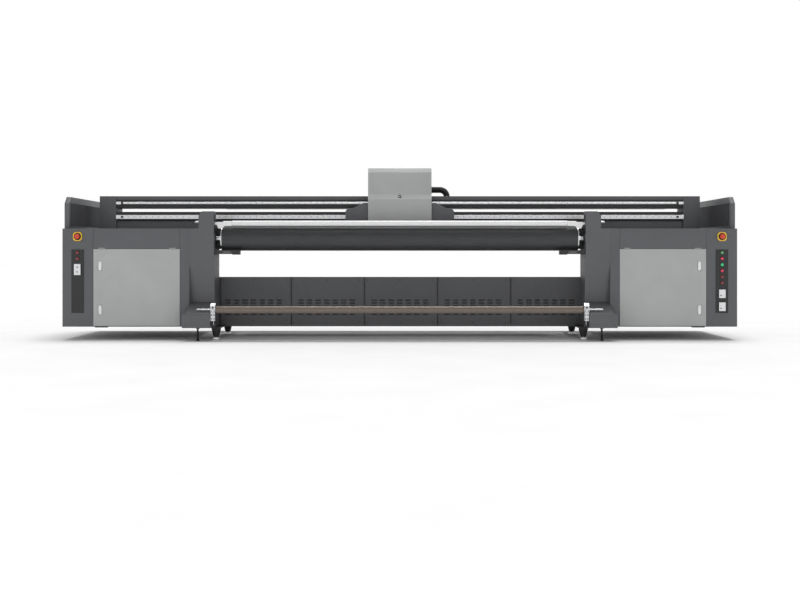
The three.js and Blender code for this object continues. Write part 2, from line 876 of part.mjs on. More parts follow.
function takeupShaft() {
  const half = [
    [coreEnd - 40, coreBore - runningGap],
    [coreEnd - 40, journalRadius],
    [journalEnd, journalRadius],
    [journalEnd, 0],
  ];
  const shape = turnedX(bothEnds(half)).translate(0, shaftY, shaftHeight);
  return piece('takeup_shaft', shape, bareSteel);
}

function takeupCore() {
  const tube = toSolid(
    turnedX([[-coreEnd, 0], [-coreEnd, coreRadius], [coreEnd, coreRadius], [coreEnd, 0]]),
  );
  const bore = turnedX([
    [-coreEnd - 1, 0],
    [-coreEnd - 1, coreBore],
    [coreEnd + 1, coreBore],
    [coreEnd + 1, 0],
  ]);
  const shape = cutAll(tube, bore).translate([0, shaftY, shaftHeight]);
  return piece('takeup_core', shape, cardboard);
}

/** Bearing block on the toe box that the shaft's journal turns in, with a yoke below it. */
function shaftChuck(side) {
  const outer = postInner - seam;
  const block = boxBetween(
    across(side, outer - chuckWidth, outer),
    [shaftY - 42, shaftY + 42],
    [shaftHeight - 102, shaftHeight + 60],
  );
  const yoke = boxBetween(
    across(side, outer - chuckWidth + 6, outer),
    [shaftY - 20, shaftY + 20],
    [shaftHeight - 155, shaftHeight - 101],
  );
  const bore = borehole(
    side.sign * (outer - chuckWidth - 1),
    side.sign * (outer + 1),
    shaftY,
    shaftHeight,
    journalRadius + runningGap,
  );
  return piece(`${side.name}_shaft_chuck`, cutAll(joinAll(block, yoke), bore), bareSteel);
}

// ---- Assembly ----

const cabinets = sides.map((side) =>
  groupOf(cabinet(side), wingPanel(side), door(side), doorLatches(side), controlsOn(side)),
);

const conveyor = groupOf(
  conveyorBelt(),
  platen(),
  conveyorRoller('front_roller', frontRollerY),
  conveyorRoller('rear_roller', rearRollerY),
  guideRoller(),
);

const gantry = groupOf(
  beamTube('lower_beam', lowerBeamBottom, lowerBeamTop),
  beamTube('upper_beam', upperBeamBottom, gantryTop),
  rail('lower_rail', lowerRail),
  rail('upper_rail', upperRail),
  sides.map(gantrySupport),
  cableTray(),
);

const carriage = groupOf(
  carriageSlider(),
  carriageCover(),
  printHeadPlate(),
  sides.map(uvLamp),
  cableElbow(),
);

const takeup = groupOf(takeupShaft(), takeupCore(), sides.map(shaftChuck));

const structure = groupOf(
  baseFrame(),
  feet(),
  sides.map(endPost),
  sides.map(toeBox),
  ventPanels(),
  rearCover(),
);

const printer = groupOf(structure, cabinets, conveyor, gantry, carriage, takeup);
printer.position.y = (toeReach - machineDepth) / 2;

export default printer;
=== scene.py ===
"""Looks of a wide hybrid flatbed UV printer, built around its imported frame, in metres."""

import math

import bmesh
import bpy
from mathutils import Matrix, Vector


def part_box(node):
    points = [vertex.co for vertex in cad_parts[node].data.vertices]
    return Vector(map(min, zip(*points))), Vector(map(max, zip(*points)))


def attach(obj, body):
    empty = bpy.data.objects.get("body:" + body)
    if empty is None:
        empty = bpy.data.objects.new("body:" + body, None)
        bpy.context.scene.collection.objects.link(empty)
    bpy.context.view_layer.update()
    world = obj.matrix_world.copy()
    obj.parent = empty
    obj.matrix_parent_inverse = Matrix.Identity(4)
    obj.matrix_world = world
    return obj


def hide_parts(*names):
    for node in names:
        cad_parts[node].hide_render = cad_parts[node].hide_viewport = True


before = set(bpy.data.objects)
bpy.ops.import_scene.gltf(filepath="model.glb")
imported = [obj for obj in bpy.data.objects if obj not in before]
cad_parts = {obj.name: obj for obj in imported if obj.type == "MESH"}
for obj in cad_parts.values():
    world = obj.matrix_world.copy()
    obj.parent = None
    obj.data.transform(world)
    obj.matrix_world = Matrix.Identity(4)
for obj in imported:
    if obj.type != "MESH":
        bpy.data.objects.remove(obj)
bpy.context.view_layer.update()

MM = 0.001
ROOT = "machine_frame"
SIDES = (("left", -1), ("right", 1))
SKY = 0.32  # brightness of the sky overhead, from 0 to 1
SUN = 2.1
EYE_HEIGHT, DISTANCE = 0.795, 10.332  # of the camera, the second from the cabinet fronts
SHARP = math.radians(30)  # edges sharper than this are rounded
WAVE_SCALE = 0.314  # makes a wave texture repeat once in its size


# ---- Places taken from the frame ----

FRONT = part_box("left_cabinet")[0].y  # plane of the cabinet fronts
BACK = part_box("left_cabinet")[1].y
CABINET_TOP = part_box("left_cabinet")[1].z
CABINET_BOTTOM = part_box("left_cabinet")[0].z
CABINET_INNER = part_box("right_cabinet")[0].x
CABINET_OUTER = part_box("right_cabinet")[1].x
POST_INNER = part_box("right_end_post")[0].x
COLUMN_X = (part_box("right_button_1")[0].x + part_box("right_button_1")[1].x) / 2


def middle(node):
    low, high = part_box(node)
    return (low + high) / 2


# ---- Camera, light and floor ----

def add_camera():
    """Level view from the front, from a standing photographer's distance."""
    data = bpy.data.cameras.new("camera")
    data.lens = 50
    data.sensor_width = 36
    data.shift_y = -0.0569
    data.clip_end = 100
    camera = bpy.data.objects.new("camera", data)
    camera.location = (0.002, FRONT - DISTANCE, EYE_HEIGHT)
    camera.rotation_euler = (math.radians(90), 0, 0)
    bpy.context.scene.collection.objects.link(camera)
    bpy.context.scene.camera = camera


def add_studio():
    """White studio whose sky dims upwards, with one very soft light from above and behind."""
    scene = bpy.context.scene
    scene.view_settings.view_transform = "Standard"
    world = bpy.data.worlds.new("studio")
    world.use_nodes = True
    tree = world.node_tree
    background = tree.nodes["Background"]
    place = tree.nodes.new("ShaderNodeTexCoord")
    split = tree.nodes.new("ShaderNodeSeparateXYZ")
    ramp = tree.nodes.new("ShaderNodeValToRGB")
    tree.links.new(place.outputs["Generated"], split.inputs[0])
    tree.links.new(split.outputs["Z"], ramp.inputs["Fac"])
    tree.links.new(ramp.outputs["Color"], background.inputs["Color"])
    low, high = ramp.color_ramp.elements
    low.position, high.position = 0.26, 0.62
    low.color = (1, 1, 1, 1)
    high.color = (SKY, SKY, SKY, 1)
    background.inputs["Strength"].default_value = 1.0
    scene.world = world
    data = bpy.data.lights.new("soft_sun", "SUN")
    data.energy = SUN
    data.angle = math.radians(34)
    sun = bpy.data.objects.new("soft_sun", data)
    sun.rotation_euler = (math.radians(-12), math.radians(4), 0)
    scene.collection.objects.link(sun)


def add_floor():
    paper = Finish("floor_paper", roughness=0.9)
    paper.tint(paper.noise(0.6), (0.9, 0.9, 0.9, 1), (0.93, 0.93, 0.93, 1))
    data = bpy.data.meshes.new("floor")
    reach = 60
    corners = [(-reach, -reach, 0), (reach, -reach, 0), (reach, reach, 0), (-reach, reach, 0)]
    data.from_pydata(corners, [], [(0, 1, 2, 3)])
    data.materials.append(paper.material)
    floor = bpy.data.objects.new("floor", data)
    bpy.context.scene.collection.objects.link(floor)


# ---- Materials ----

def display(red, green, blue):
    """Linear colour from display values of 0 to 255."""
    def channel(value):
        share = value / 255
        return share / 12.92 if share <= 0.04045 else ((share + 0.055) / 1.055) ** 2.4
    return (channel(red), channel(green), channel(blue), 1.0)


def shade(colour, factor):
    return tuple(min(1.0, part * factor) for part in colour[:3]) + (1.0,)


class Finish:
    """A procedural material: one Principled shader and the nodes that feed it."""

    def __init__(self, name, roughness, metallic=0.0, specular=0.5, coat=0.0):
        self.material = bpy.data.materials.new(name)
        self.material.use_nodes = True
        self.tree = self.material.node_tree
        self.shader = self.tree.nodes["Principled BSDF"]
        self.shader.inputs["Roughness"].default_value = roughness
        self.shader.inputs["Metallic"].default_value = metallic
        self.shader.inputs["Specular IOR Level"].default_value = specular
        self.shader.inputs["Coat Weight"].default_value = coat
        self.place = self.add("ShaderNodeTexCoord").outputs["Object"]

    def add(self, kind, **settings):
        node = self.tree.nodes.new(kind)
        for name, value in settings.items():
            setattr(node, name, value)
        return node

    def link(self, output, socket):
        self.tree.links.new(output, socket)

    def noise(self, size, detail=2.0, stretch=(1, 1, 1)):
        """Noise whose features are about size metres across, times stretch on each axis."""
        mapping = self.add("ShaderNodeMapping")
        self.link(self.place, mapping.inputs["Vector"])
        mapping.inputs["Scale"].default_value = [1 / part for part in stretch]
        noise = self.add("ShaderNodeTexNoise")
        self.link(mapping.outputs["Vector"], noise.inputs["Vector"])
        noise.inputs["Scale"].default_value = 1 / size
        noise.inputs["Detail"].default_value = detail
        return noise.outputs["Fac"]

    def wave(self, size, axis):
        wave = self.add("ShaderNodeTexWave", bands_direction=axis)
        self.link(self.place, wave.inputs["Vector"])
        wave.inputs["Scale"].default_value = WAVE_SCALE / size
        return wave.outputs["Fac"]

    def maths(self, operation, *values):
        node = self.add("ShaderNodeMath", operation=operation)
        for socket, value in zip(node.inputs, values):
            if isinstance(value, (int, float)):
                socket.default_value = value
            else:
                self.link(value, socket)
        return node.outputs[0]

    def tint(self, factor, low, high, start=0.3, end=0.7):
        """Base colour that runs from low to high as factor goes from start to end."""
        ramp = self.add("ShaderNodeValToRGB")
        self.link(factor, ramp.inputs["Fac"])
        first, last = ramp.color_ramp.elements
        first.position, last.position = start, end
        first.color, last.color = low, high
        self.link(ramp.outputs["Color"], self.shader.inputs["Base Color"])
        return self

    def rough(self, factor, low, high):
        ramp = self.add("ShaderNodeMapRange")
        self.link(factor, ramp.inputs["Value"])
        ramp.inputs["From Min"].default_value = 0.3
        ramp.inputs["From Max"].default_value = 0.7
        ramp.inputs["To Min"].default_value = low
        ramp.inputs["To Max"].default_value = high
        self.link(ramp.outputs["Result"], self.shader.inputs["Roughness"])
        return self

    def bump(self, height, depth, strength=0.5):
        bump = self.add("ShaderNodeBump")
        bump.inputs["Distance"].default_value = depth
        bump.inputs["Strength"].default_value = strength
        self.link(height, bump.inputs["Height"])
        self.link(bump.outputs["Normal"], self.shader.inputs["Normal"])
        return self


def powder_coat(name, colour, roughness):
    """Fine orange-peel paint with faint mottling."""
    paint = Finish(name, roughness)
    paint.tint(paint.noise(0.35, 3), shade(colour, 0.94), shade(colour, 1.05))
    paint.rough(paint.noise(0.02), roughness - 0.05, roughness + 0.06)
    paint.bump(paint.noise(0.0018), 0.0003, 0.25)
    return paint.material


def brushed_metal(name, colour, roughness, grain=(40, 1, 1)):
    """Bare metal with fine lines along the axis that grain stretches."""
    metal = Finish(name, roughness, metallic=1.0)
    lines = metal.noise(0.0012, 3, grain)
    metal.tint(lines, shade(colour, 0.88), shade(colour, 1.08))
    metal.rough(lines, roughness - 0.07, roughness + 0.09)
    metal.bump(lines, 0.0001, 0.3)
    return metal.material


def moulded(name, colour, roughness, coat=0.0):
    """Moulded plastic or rubber with a faint grain."""
    plastic = Finish(name, roughness, coat=coat)
    plastic.tint(plastic.noise(0.012), shade(colour, 0.93), shade(colour, 1.07))
    plastic.bump(plastic.noise(0.0012), 0.0002, 0.15)
    return plastic.material


def lens(name, colour, glow):
    """Tinted lens of a lit button, a little brighter in its ribs."""
    glass = Finish(name, roughness=0.18, coat=0.6)
    glass.tint(glass.noise(0.006), shade(colour, 0.85), shade(colour, 1.15))
    glass.bump(glass.wave(0.002, "X"), 0.0003, 0.3)
    glass.shader.inputs["Emission Color"].default_value = colour
    glass.shader.inputs["Emission Strength"].default_value = glow
    return glass.material


def belt_rubber():
    """Conveyor belt: a fine woven face with faint wear along its run."""
    belt = Finish("belt_rubber", 0.42)
    weave = belt.maths("MULTIPLY", belt.wave(0.0022, "X"), belt.wave(0.0022, "Z"))
    streaks = belt.noise(0.01, 4, (14, 1, 1))
    belt.tint(streaks, display(44, 45, 47), display(56, 57, 59))
    belt.rough(belt.noise(0.15, 3), 0.34, 0.46)
    belt.bump(belt.maths("ADD", weave, belt.noise(0.0015)), 0.0003, 0.25)
    return belt.material


def wound_cardboard(centre_y, centre_z):
    """Cardboard tube wound in a spiral, with a seam line and loose fibres."""
    board = Finish("cardboard", 0.30, specular=0.6, coat=0.35)
    split = board.add("ShaderNodeSeparateXYZ")
    board.link(board.place, split.inputs[0])
    rise = board.maths("SUBTRACT", split.outputs["Z"], centre_z)
    run = board.maths("SUBTRACT", split.outputs["Y"], centre_y)
    turn = board.maths("DIVIDE", board.maths("ARCTAN2", rise, run), 2 * math.pi)
    winding = board.maths("ADD", board.maths("DIVIDE", split.outputs["X"], 0.14), turn)
    seam = board.maths("PINGPONG", winding, 0.5)
    fibres = board.noise(0.004, 5, (7, 1, 1))
    edge = board.maths("SMOOTH_MIN", board.maths("MULTIPLY", seam, 18), 1.0, 0.2)
    both = board.maths("ADD", board.maths("MULTIPLY", edge, 0.10), board.maths("MULTIPLY", fibres, 0.75))
    board.tint(both, display(92, 80, 71), display(124, 110, 98), 0.2, 0.85)
    board.bump(both, 0.0003, 0.25)
    return board.material


FINISHES = (  # for each kind: its short name, material name, display colour and settings
    (powder_coat, (
        ("dark", "dark_coat", (93, 94, 97), 0.5),
        ("header", "header_coat", (91, 93, 96), 0.48),
        ("light", "light_coat", (175, 177, 176), 0.46),
        # band: a lighter copy of the light coat, a painted highlight on the cover's sloped band
        ("band", "light_coat_band", (187, 189, 188), 0.44),
        ("black", "black_coat", (38, 38, 40), 0.45),
        ("vent", "vent_coat", (82, 83, 85), 0.5),
        # wing: darker than the dark paint, painted shade on the wing's inner inset plate
        ("wing", "wing_inner_coat", (62, 63, 66), 0.9),
        # shadow: near black, painted shade on the post sheets, the bearing plates and the vent panel seams
        ("shadow", "liner_coat", (44, 45, 47), 0.6),
        ("inside", "inside_zinc", (150, 152, 150), 0.4),
    )),
    (brushed_metal, (
        ("steel", "machined_steel", (205, 206, 208), 0.26),
        ("satin", "satin_aluminium", (222, 223, 225), 0.34),
        ("turned", "turned_steel", (224, 225, 227), 0.22, (1, 1, 1)),
        ("rail", "rail_steel", (214, 215, 217), 0.3),
        ("nickel", "nickel_plate", (226, 227, 229), 0.42, (1, 1, 20)),
    )),
    (moulded, (
        ("white", "white_enamel", (236, 236, 236), 0.3, 0.3),
        ("rubber", "black_rubber", (30, 30, 32), 0.6),
        ("hose", "hose_sleeve", (26, 26, 28), 0.55),
        ("acrylic", "black_acrylic", (38, 38, 39), 0.5, 0.05),
        ("yellow", "yellow_plastic", (236, 190, 40), 0.35, 0.2),
        ("red", "red_plastic", (214, 60, 26), 0.3, 0.4),
        ("glass", "lamp_glass", (66, 52, 92), 0.08, 1.0),
        ("blue", "blue_cable_duct", (60, 84, 122), 0.5),
        ("inside_mark", "grey_mark", (120, 121, 124), 0.4),
        ("tank", "natural_plastic", (206, 204, 194), 0.4),
    )),
    (lens, (
        ("dim_red", "red_lens_dim", (120, 22, 28), 0.15),
        ("lit_red", "red_lens_lit", (190, 34, 66), 0.30),
        ("lit_green", "green_lens_lit", (40, 170, 110), 0.40),
        ("dim_green", "green_lens_dim", (70, 140, 88), 0.30),
    )),
)


def make_materials():
    """Every finish by its short name."""
    core = middle("takeup_core")
    made = {"belt": belt_rubber(), "cardboard": wound_cardboard(core.y, core.z)}
    for make, rows in FINISHES:
        for short, name, colour, *settings in rows:
            made[short] = make(name, display(*colour), *settings)
    return made


# ---- Geometry helpers ----

AXES = {"X": (0, 1, 2), "Y": (1, 0, 2), "Z": (2, 0, 1)}  # the axis itself, then the two across it


def point(axis, along, first, second):
    """Point from a distance along an axis and the two other coordinates in X, Y, Z order."""
    place = [0.0, 0.0, 0.0]
    for index, value in zip(AXES[axis], (along, first, second)):
        place[index] = value
    return Vector(place)


def trace(first, second, *steps):
    """Points of an outline or a profile: two starts in metres, and steps from them in millimetres."""
    return [(first + one * MM, second + other * MM) for one, other in steps]


class Shape:
    """Solids gathered in one mesh, in the row frame."""

    def __init__(self, node=None):
        self.mesh = bmesh.new()
        if node:
            self.mesh.from_mesh(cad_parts[node].data)
            bmesh.ops.remove_doubles(self.mesh, verts=self.mesh.verts, dist=1e-5)
            bmesh.ops.dissolve_limit(self.mesh, angle_limit=math.radians(1), verts=self.mesh.verts,
                edges=self.mesh.edges)

    def rounded(self, width, segments=2, faces=None):
        """Rounds every edge sharper than SHARP, by a width in millimetres."""
        edges = [
            edge
            for edge in self.mesh.edges
            if len(edge.link_faces) == 2
            and edge.calc_face_angle(0) > SHARP
            and (faces is None or set(edge.link_faces) <= faces)
        ]
        bmesh.ops.bevel(self.mesh, geom=edges, offset=width * MM, segments=segments, profile=0.6,
            affect="EDGES", clamp_overlap=True)
        return self

    def box(self, corner, opposite, bevel=1.5, segments=2):
        """Block between two opposite corners, in any order."""
        (x0, x1), (y0, y1), (z0, z1) = (sorted(pair) for pair in zip(corner, opposite))
        return self.prism([(x0, y0), (x1, y0), (x1, y1), (x0, y1)], "Z", z0, z1, bevel, segments)

    def prism(self, outline, axis, start, end, bevel=1.5, segments=2):
        """Straight solid along an axis; the outline holds the two other coordinates, bevel is in mm."""
        near = [self.mesh.verts.new(point(axis, start, *pair)) for pair in outline]
        far = [self.mesh.verts.new(point(axis, end, *pair)) for pair in outline]
        faces = [self.mesh.faces.new(near), self.mesh.faces.new(far)]
        for i in range(len(near)):
            j = (i + 1) % len(near)
            faces.append(self.mesh.faces.new((near[i], near[j], far[j], far[i])))
        if bevel:
            self.rounded(bevel, segments, faces=set(faces))
        return self

    def turned(self, profile, centre, axis="X", segments=48, closed=False):
        """Round solid about an axis; each profile point is (distance along it, radius)."""
        rings = []
        base = Vector(centre)
        for along, radius in profile:
            count = 1 if radius < 1e-7 else segments
            ring = []
            for k in range(count):
                angle = 2 * math.pi * k / segments
                offset = point(axis, along, radius * math.cos(angle), radius * math.sin(angle))
                ring.append(self.mesh.verts.new(base + offset))
            rings.append(ring)
        pairs = list(zip(rings, rings[1:]))
        if closed:
            pairs.append((rings[-1], rings[0]))
        for ring, following in pairs:
            for k in range(segments):
                n = (k + 1) % segments
                corners = [ring[k % len(ring)], ring[n % len(ring)], following[n % len(following)],
                    following[k % len(following)]]
                unique = list(dict.fromkeys(corners))
                if len(unique) > 2:
                    self.mesh.faces.new(unique)
        if not closed:
            for ring in (rings[0], rings[-1]):
                if len(ring) > 1:
                    self.mesh.faces.new(ring)
        return self

    def swept(self, path, radii, segments=24):
        """Round tube along points, with a radius at each, closed at both ends."""
        rings = []
        side = Vector((0, 1, 0))
        for i, place in enumerate(path):
            ahead = path[min(i + 1, len(path) - 1)] - path[max(i - 1, 0)]
            ahead.normalize()
            up = side.cross(ahead).normalized()
            across = ahead.cross(up).normalized()
            ring = []
            for k in range(segments):
                angle = 2 * math.pi * k / segments
                offset = across * math.cos(angle) + up * math.sin(angle)
                ring.append(self.mesh.verts.new(place + offset * radii[i]))
            rings.append(ring)
        for ring, following in zip(rings, rings[1:]):
            for k in range(segments):
                n = (k + 1) % segments
                self.mesh.faces.new((ring[k], ring[n], following[n], following[k]))
        self.mesh.faces.new(rings[0])
        self.mesh.faces.new(rings[-1])
        return self

    def bolt(self, centre, radius, height, axis="Y", facing=-1):
        """Socket-head screw on a surface, its sizes in millimetres, with its head towards facing."""
        radius, tall = radius * MM, facing * height * MM
        profile = [(-facing * MM, radius), (0, radius), (tall * 0.75, radius), (tall, radius * 0.86),
            (tall, radius * 0.5), (tall * 0.35, radius * 0.45), (tall * 0.35, 0)]
        return self.turned(profile, centre, axis, 18)

    def cut(self, tool):
        """Cuts another shape out of this one."""
        body, cutter = self._loose("body"), tool._loose("tool")
        modifier = body.modifiers.new("combine", "BOOLEAN")
        modifier.operation = "DIFFERENCE"
        modifier.solver = "EXACT"
        modifier.object = cutter
        bpy.context.view_layer.update()
        result = body.evaluated_get(bpy.context.evaluated_depsgraph_get()).to_mesh()
        self.mesh = bmesh.new()
        self.mesh.from_mesh(result)
        for made in (body, cutter):
            bpy.data.meshes.remove(made.data)
        return self

    def _loose(self, name):
        bmesh.ops.recalc_face_normals(self.mesh, faces=self.mesh.faces)
        data = bpy.data.meshes.new(name)
        self.mesh.to_mesh(data)
        self.mesh.free()
        made = bpy.data.objects.new(name, data)
        bpy.context.scene.collection.objects.link(made)
        return made

    def piece(self, name, finish, body=ROOT, replaces=(), angle=35, slot=None):
        """Turns the shape into a named piece that rides on a body."""
        made = self._loose(name)
        data = made.data
        data.polygons.foreach_set("use_smooth", [True] * len(data.polygons))
        data.set_sharp_from_angle(angle=math.radians(angle))
        data.materials.append(MATERIALS[finish])
        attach(made, body)
        if replaces:
            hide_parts(*replaces)


def refine(node, finish, width=2, segments=2, body=ROOT):
    """The CAD node with its edges rounded by a width in millimetres, and a finish."""
    Shape(node).rounded(width, segments).piece(f"{node}_shell", finish, body, [node])


def row(y):
    """Row-frame Y of a depth behind the cabinet fronts, given in millimetres."""
    return FRONT + y * MM


# ---- Rollers, belt and media path ----

def conveyor_roller(name):
    """Drum with dished bright end caps and a stepped axle."""
    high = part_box(name)[1]
    centre = middle(name)
    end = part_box("conveyor_belt")[1].x
    axle = 23.5 * MM
    shape = Shape()
    shape.turned([(-end + 0.001, 0.09), (-end + 0.001, 0.1035), (end - 0.001, 0.1035), (end - 0.001, 0.09)],
        centre, "X", 72)
    shape.piece(f"{name}_drum", "steel", name)
    ends = Shape()
    for sign in (-1, 1):
        profile = [*trace(end, 0, (0.5, 85), (0.5, 108.5), (3, 109.5), (8.5, 109.5), (10, 107.5), (13, 85),
            (16.5, 52), (18, 40), (19.5, 33), (24.5, 33)), (end + 0.0250, axle), (end + 0.0440, axle),
            (end + 0.0445, 0.0205), (end + 0.0490, 0.0205), (end + 0.0495, axle), (high.x - 0.002, axle),
            (high.x, axle - 0.002), (high.x, 0)]
        ends.turned([(sign * along, radius) for along, radius in profile], centre, "X", 72)
        for k in range(6):
            angle = math.radians(60 * k + 15)
            place = centre + Vector((0, 0.075 * math.cos(angle), 0.075 * math.sin(angle)))
            ends.bolt((sign * (end + 0.0140), place.y, place.z), 5, 3, "X", sign)
    ends.piece(f"{name}_ends", "turned", name, [name], angle=25)


def make_belt():
    """Belt as one smooth loop over both rollers."""
    front, rear = middle("front_roller"), middle("rear_roller")
    low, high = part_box("conveyor_belt")
    outer = (high.z - low.z) / 2
    inner = outer - 5 * MM
    loop = []
    steps = 72
    for radius in (outer, inner):
        ring = [
            (rear.y + radius * math.sin(math.pi * k / steps), rear.z + radius * math.cos(math.pi * k / steps))
            for k in range(steps + 1)
        ] + [
            (front.y - radius * math.sin(math.pi * k / steps), front.z - radius * math.cos(math.pi * k / steps))
            for k in range(steps + 1)
        ]
        loop.append(ring)
    shape = Shape()
    rim = 2 * MM
    stations = [low.x, low.x + rim]
    stations += [low.x + rim + (high.x - low.x - 4 * MM) * k / 12 for k in range(1, 12)]
    stations += [high.x - rim, high.x]
    grid = []
    for i, x in enumerate(stations):
        trim = 1.2 * MM if i in (0, len(stations) - 1) else 0
        ring_out = [shape.mesh.verts.new((x, *nearer(y, z, front, rear, trim))) for y, z in loop[0]]
        ring_in = [shape.mesh.verts.new((x, y, z)) for y, z in loop[1]]
        grid.append((ring_out, ring_in))
    count = len(loop[0])
    for (a_out, a_in), (b_out, b_in) in zip(grid, grid[1:]):
        for k in range(count):
            n = (k + 1) % count
            shape.mesh.faces.new((a_out[k], a_out[n], b_out[n], b_out[k]))
            shape.mesh.faces.new((a_in[k], b_in[k], b_in[n], a_in[n]))
    for ring_out, ring_in in (grid[0], grid[-1]):
        for k in range(count):
            n = (k + 1) % count
            shape.mesh.faces.new((ring_out[k], ring_in[k], ring_in[n], ring_out[n]))
    shape.piece("belt_loop", "belt", replaces=["conveyor_belt"])


def nearer(y, z, front, rear, trim):
    """A point of the belt's outside, moved in by trim towards the loop's middle line."""
    if not trim:
        return y, z
    anchor_y = min(max(y, front.y), rear.y)
    direction = Vector((y - anchor_y, z - front.z))
    direction.normalize()
    return y - direction.x * trim, z - direction.y * trim


def make_guide_roller():
    """White roller over the belt, the dark bar behind it, and an arm and a knob at each end."""
    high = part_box("guide_roller")[1]
    centre = middle("guide_roller")
    radius = 25 * MM
    end = 1.5665
    half = [*trace(high.x, 0, (0, 0), (0, 8.5), (-1.5, 10)), *trace(end, 0, (12, 10), (11, 11.8),
        (0, 11.8)), *trace(end, radius, (0, -3), (-3, 0), (-30, 0), (-31, -1.5), (-34, -1.5), (-35, 0))]
    profile = half + [(-along, size) for along, size in reversed(half)]
    shape = Shape().turned(profile, centre, "X", 48)
    shape.piece("guide_roller_shell", "white", "guide_roller", ["guide_roller"])
    belt_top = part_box("conveyor_belt")[1].z
    bar = Shape().box((-1.655, centre.y + 0.040, belt_top + 0.0012),
        (1.655, centre.y + 0.052, belt_top + 0.0110))
    bar.piece("static_brush_bar", "black")
    z = centre.z
    outline = [*trace(0, z, (1568, 9), (1568, -25), (1636, -26), (1646, -36), (1652, -47.5), (1656, -49.5),
        (1692, -49.5), (1697, -45), (1701, -27), (1710, -14)), (POST_INNER - 0.0005, z - 0.011),
        (POST_INNER - 0.0005, z - 0.001), *trace(0, z, (1712, 2), (1702, 12), (1582, 12))]
    for side, sign in SIDES:
        arm = Shape().prism([(sign * x, height) for x, height in outline], "Y", row(34), row(58), bevel=2.5,
            segments=3)
        arm.cut(Shape().turned([(-2.0, 0.0125), (2.0, 0.0125)], centre, "X", 32))
        for x in (1.600, 1.672):
            arm.bolt((sign * x, row(34), z - 0.018), 4, 2.5)
        arm.piece(f"{side}_guide_arm", "white")
        outer = 1.872
        knob = trace(outer, 0, (0, 0), (0, 6), (10, 6), (11, 9.5), (14, 10.5), (40, 10.5), (44, 8.5),
            (45, 0))
        Shape().turned([(sign * along, size) for along, size in knob], (0, row(60), 1.0985), "X",
            32).piece(f"{side}_release_knob", "satin")


# ---- Take-up shaft ----

def make_takeup():
    """Cardboard tube on the steel shaft, and the blocks that the shaft turns in."""
    low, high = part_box("takeup_core")
    centre = middle("takeup_core")
    end, radius, wall = high.x, (high.z - low.z) / 2, 8 * MM
    core = [(-end, radius - wall), (-end, radius - 0.0012), (-end + 0.0012, radius), (end - 0.0012, radius),
        (end, radius - 0.0012), (end, radius - wall)]
    Shape().turned(core, centre, "X", 64, closed=True).piece("cardboard_tube", "cardboard", "takeup",
        ["takeup_core"])
    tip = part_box("takeup_shaft")[1].x
    body = radius - wall - 0.001
    half = [*trace(tip, 0, (0, 0), (0, 7.5), (-1.5, 9)), (end + 0.001, 0.009), (end + 0.0005, body),
        (end - 0.002, body)]
    profile = half + [(-along, size) for along, size in reversed(half)]
    Shape().turned(profile, centre, "X", 48).piece("air_shaft", "turned", "takeup", ["takeup_shaft"],
        angle=25)
    for side, _ in SIDES:
        shaft_chuck(side, centre)


def shaft_chuck(side, centre):
    """Two bright clamp blocks on a dark yoke, with socket screws and a locking pin."""
    node = f"{side}_shaft_chuck"
    low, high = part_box(node)
    inner, outer = low.x, high.x
    y, z = centre.y, centre.z
    front, back = y - 0.042, y + 0.042
    middle_x = (inner + outer) / 2
    block = Shape()
    outline = [(front, z - 0.021), *trace(back, z, (0, -21), (0, 38), (-22, 59.8)),
        (front + 0.022, z + 0.0598), (front, z + 0.038)]
    block.prism(outline, "X", inner + 0.0003, outer - 0.0003, bevel=3, segments=3)
    block.box((inner + 0.003, front + 0.003, z - 0.1018), (outer - 0.003, back - 0.003, z - 0.0235),
        bevel=4, segments=3)
    block.cut(Shape().turned([(inner - 0.01, 0.0105), (outer + 0.01, 0.0105)], (0, y, z), "X", 40))
    slot_cut = Shape().box((inner - 0.01, front - 0.01, z + 0.004), (outer + 0.01, y - 0.012, z + 0.0075),
        bevel=0)
    slot_cut.turned([(front - 0.001, 0.0095), (front + 0.012, 0.0095)], (middle_x, 0, z + 0.020), "Y", 28)
    for rise in (-0.048, -0.084):
        for drop in (-0.0105, 0.0105):
            slot_cut.turned([(front - 0.001, 0.0062), (front + 0.010, 0.0062)],
                (middle_x + drop, 0, z + rise), "Y", 20)
    block.cut(slot_cut)
    block.piece(f"{side}_chuck_block", "steel", replaces=[node])

    screws = Shape()
    screws.bolt((middle_x, front + 0.011, z + 0.020), 8.4, 6)
    for drop in (-0.014, 0.014):
        screws.bolt((middle_x + drop, front, z - 0.011), 4.6, 3)
    for rise in (-0.048, -0.084):
        for drop in (-0.0105, 0.0105):
            screws.bolt((middle_x + drop, front + 0.0095, z + rise), 5.6, 4)
    screws.piece(f"{side}_chuck_screws", "black")

    yoke = Shape()
    foot = low.z
    cheek = [(y - 0.020, foot), (y + 0.020, foot), (y + 0.020, z - 0.102), (y - 0.020, z - 0.102)]
    for start, stop in ((inner + 0.006, inner + 0.014), (outer - 0.014, outer - 0.002)):
        yoke.prism(cheek, "X", start, stop, bevel=2)
    bar = trace(y, foot, (-19, 0), (19, 0), (19, 14), (-19, 14))
    yoke.prism(bar, "X", inner + 0.013, outer - 0.013, bevel=0.5)
    yoke.piece(f"{side}_chuck_yoke", "black")
    pin = Shape().turned([(foot + 0.014, 0), (foot + 0.014, 0.0075),
        *trace(z, 0, (-112, 7.5), (-110, 8.5), (-102, 8.5), (-102, 0))], (middle_x, y, 0), "Z", 24)
    pin.piece(f"{side}_chuck_pin", "turned", angle=25)


# ---- Base, posts and toe boxes ----

VENT_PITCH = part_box("vent_panel_3")[1].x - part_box("vent_panel_3")[0].x + 0.6 * MM


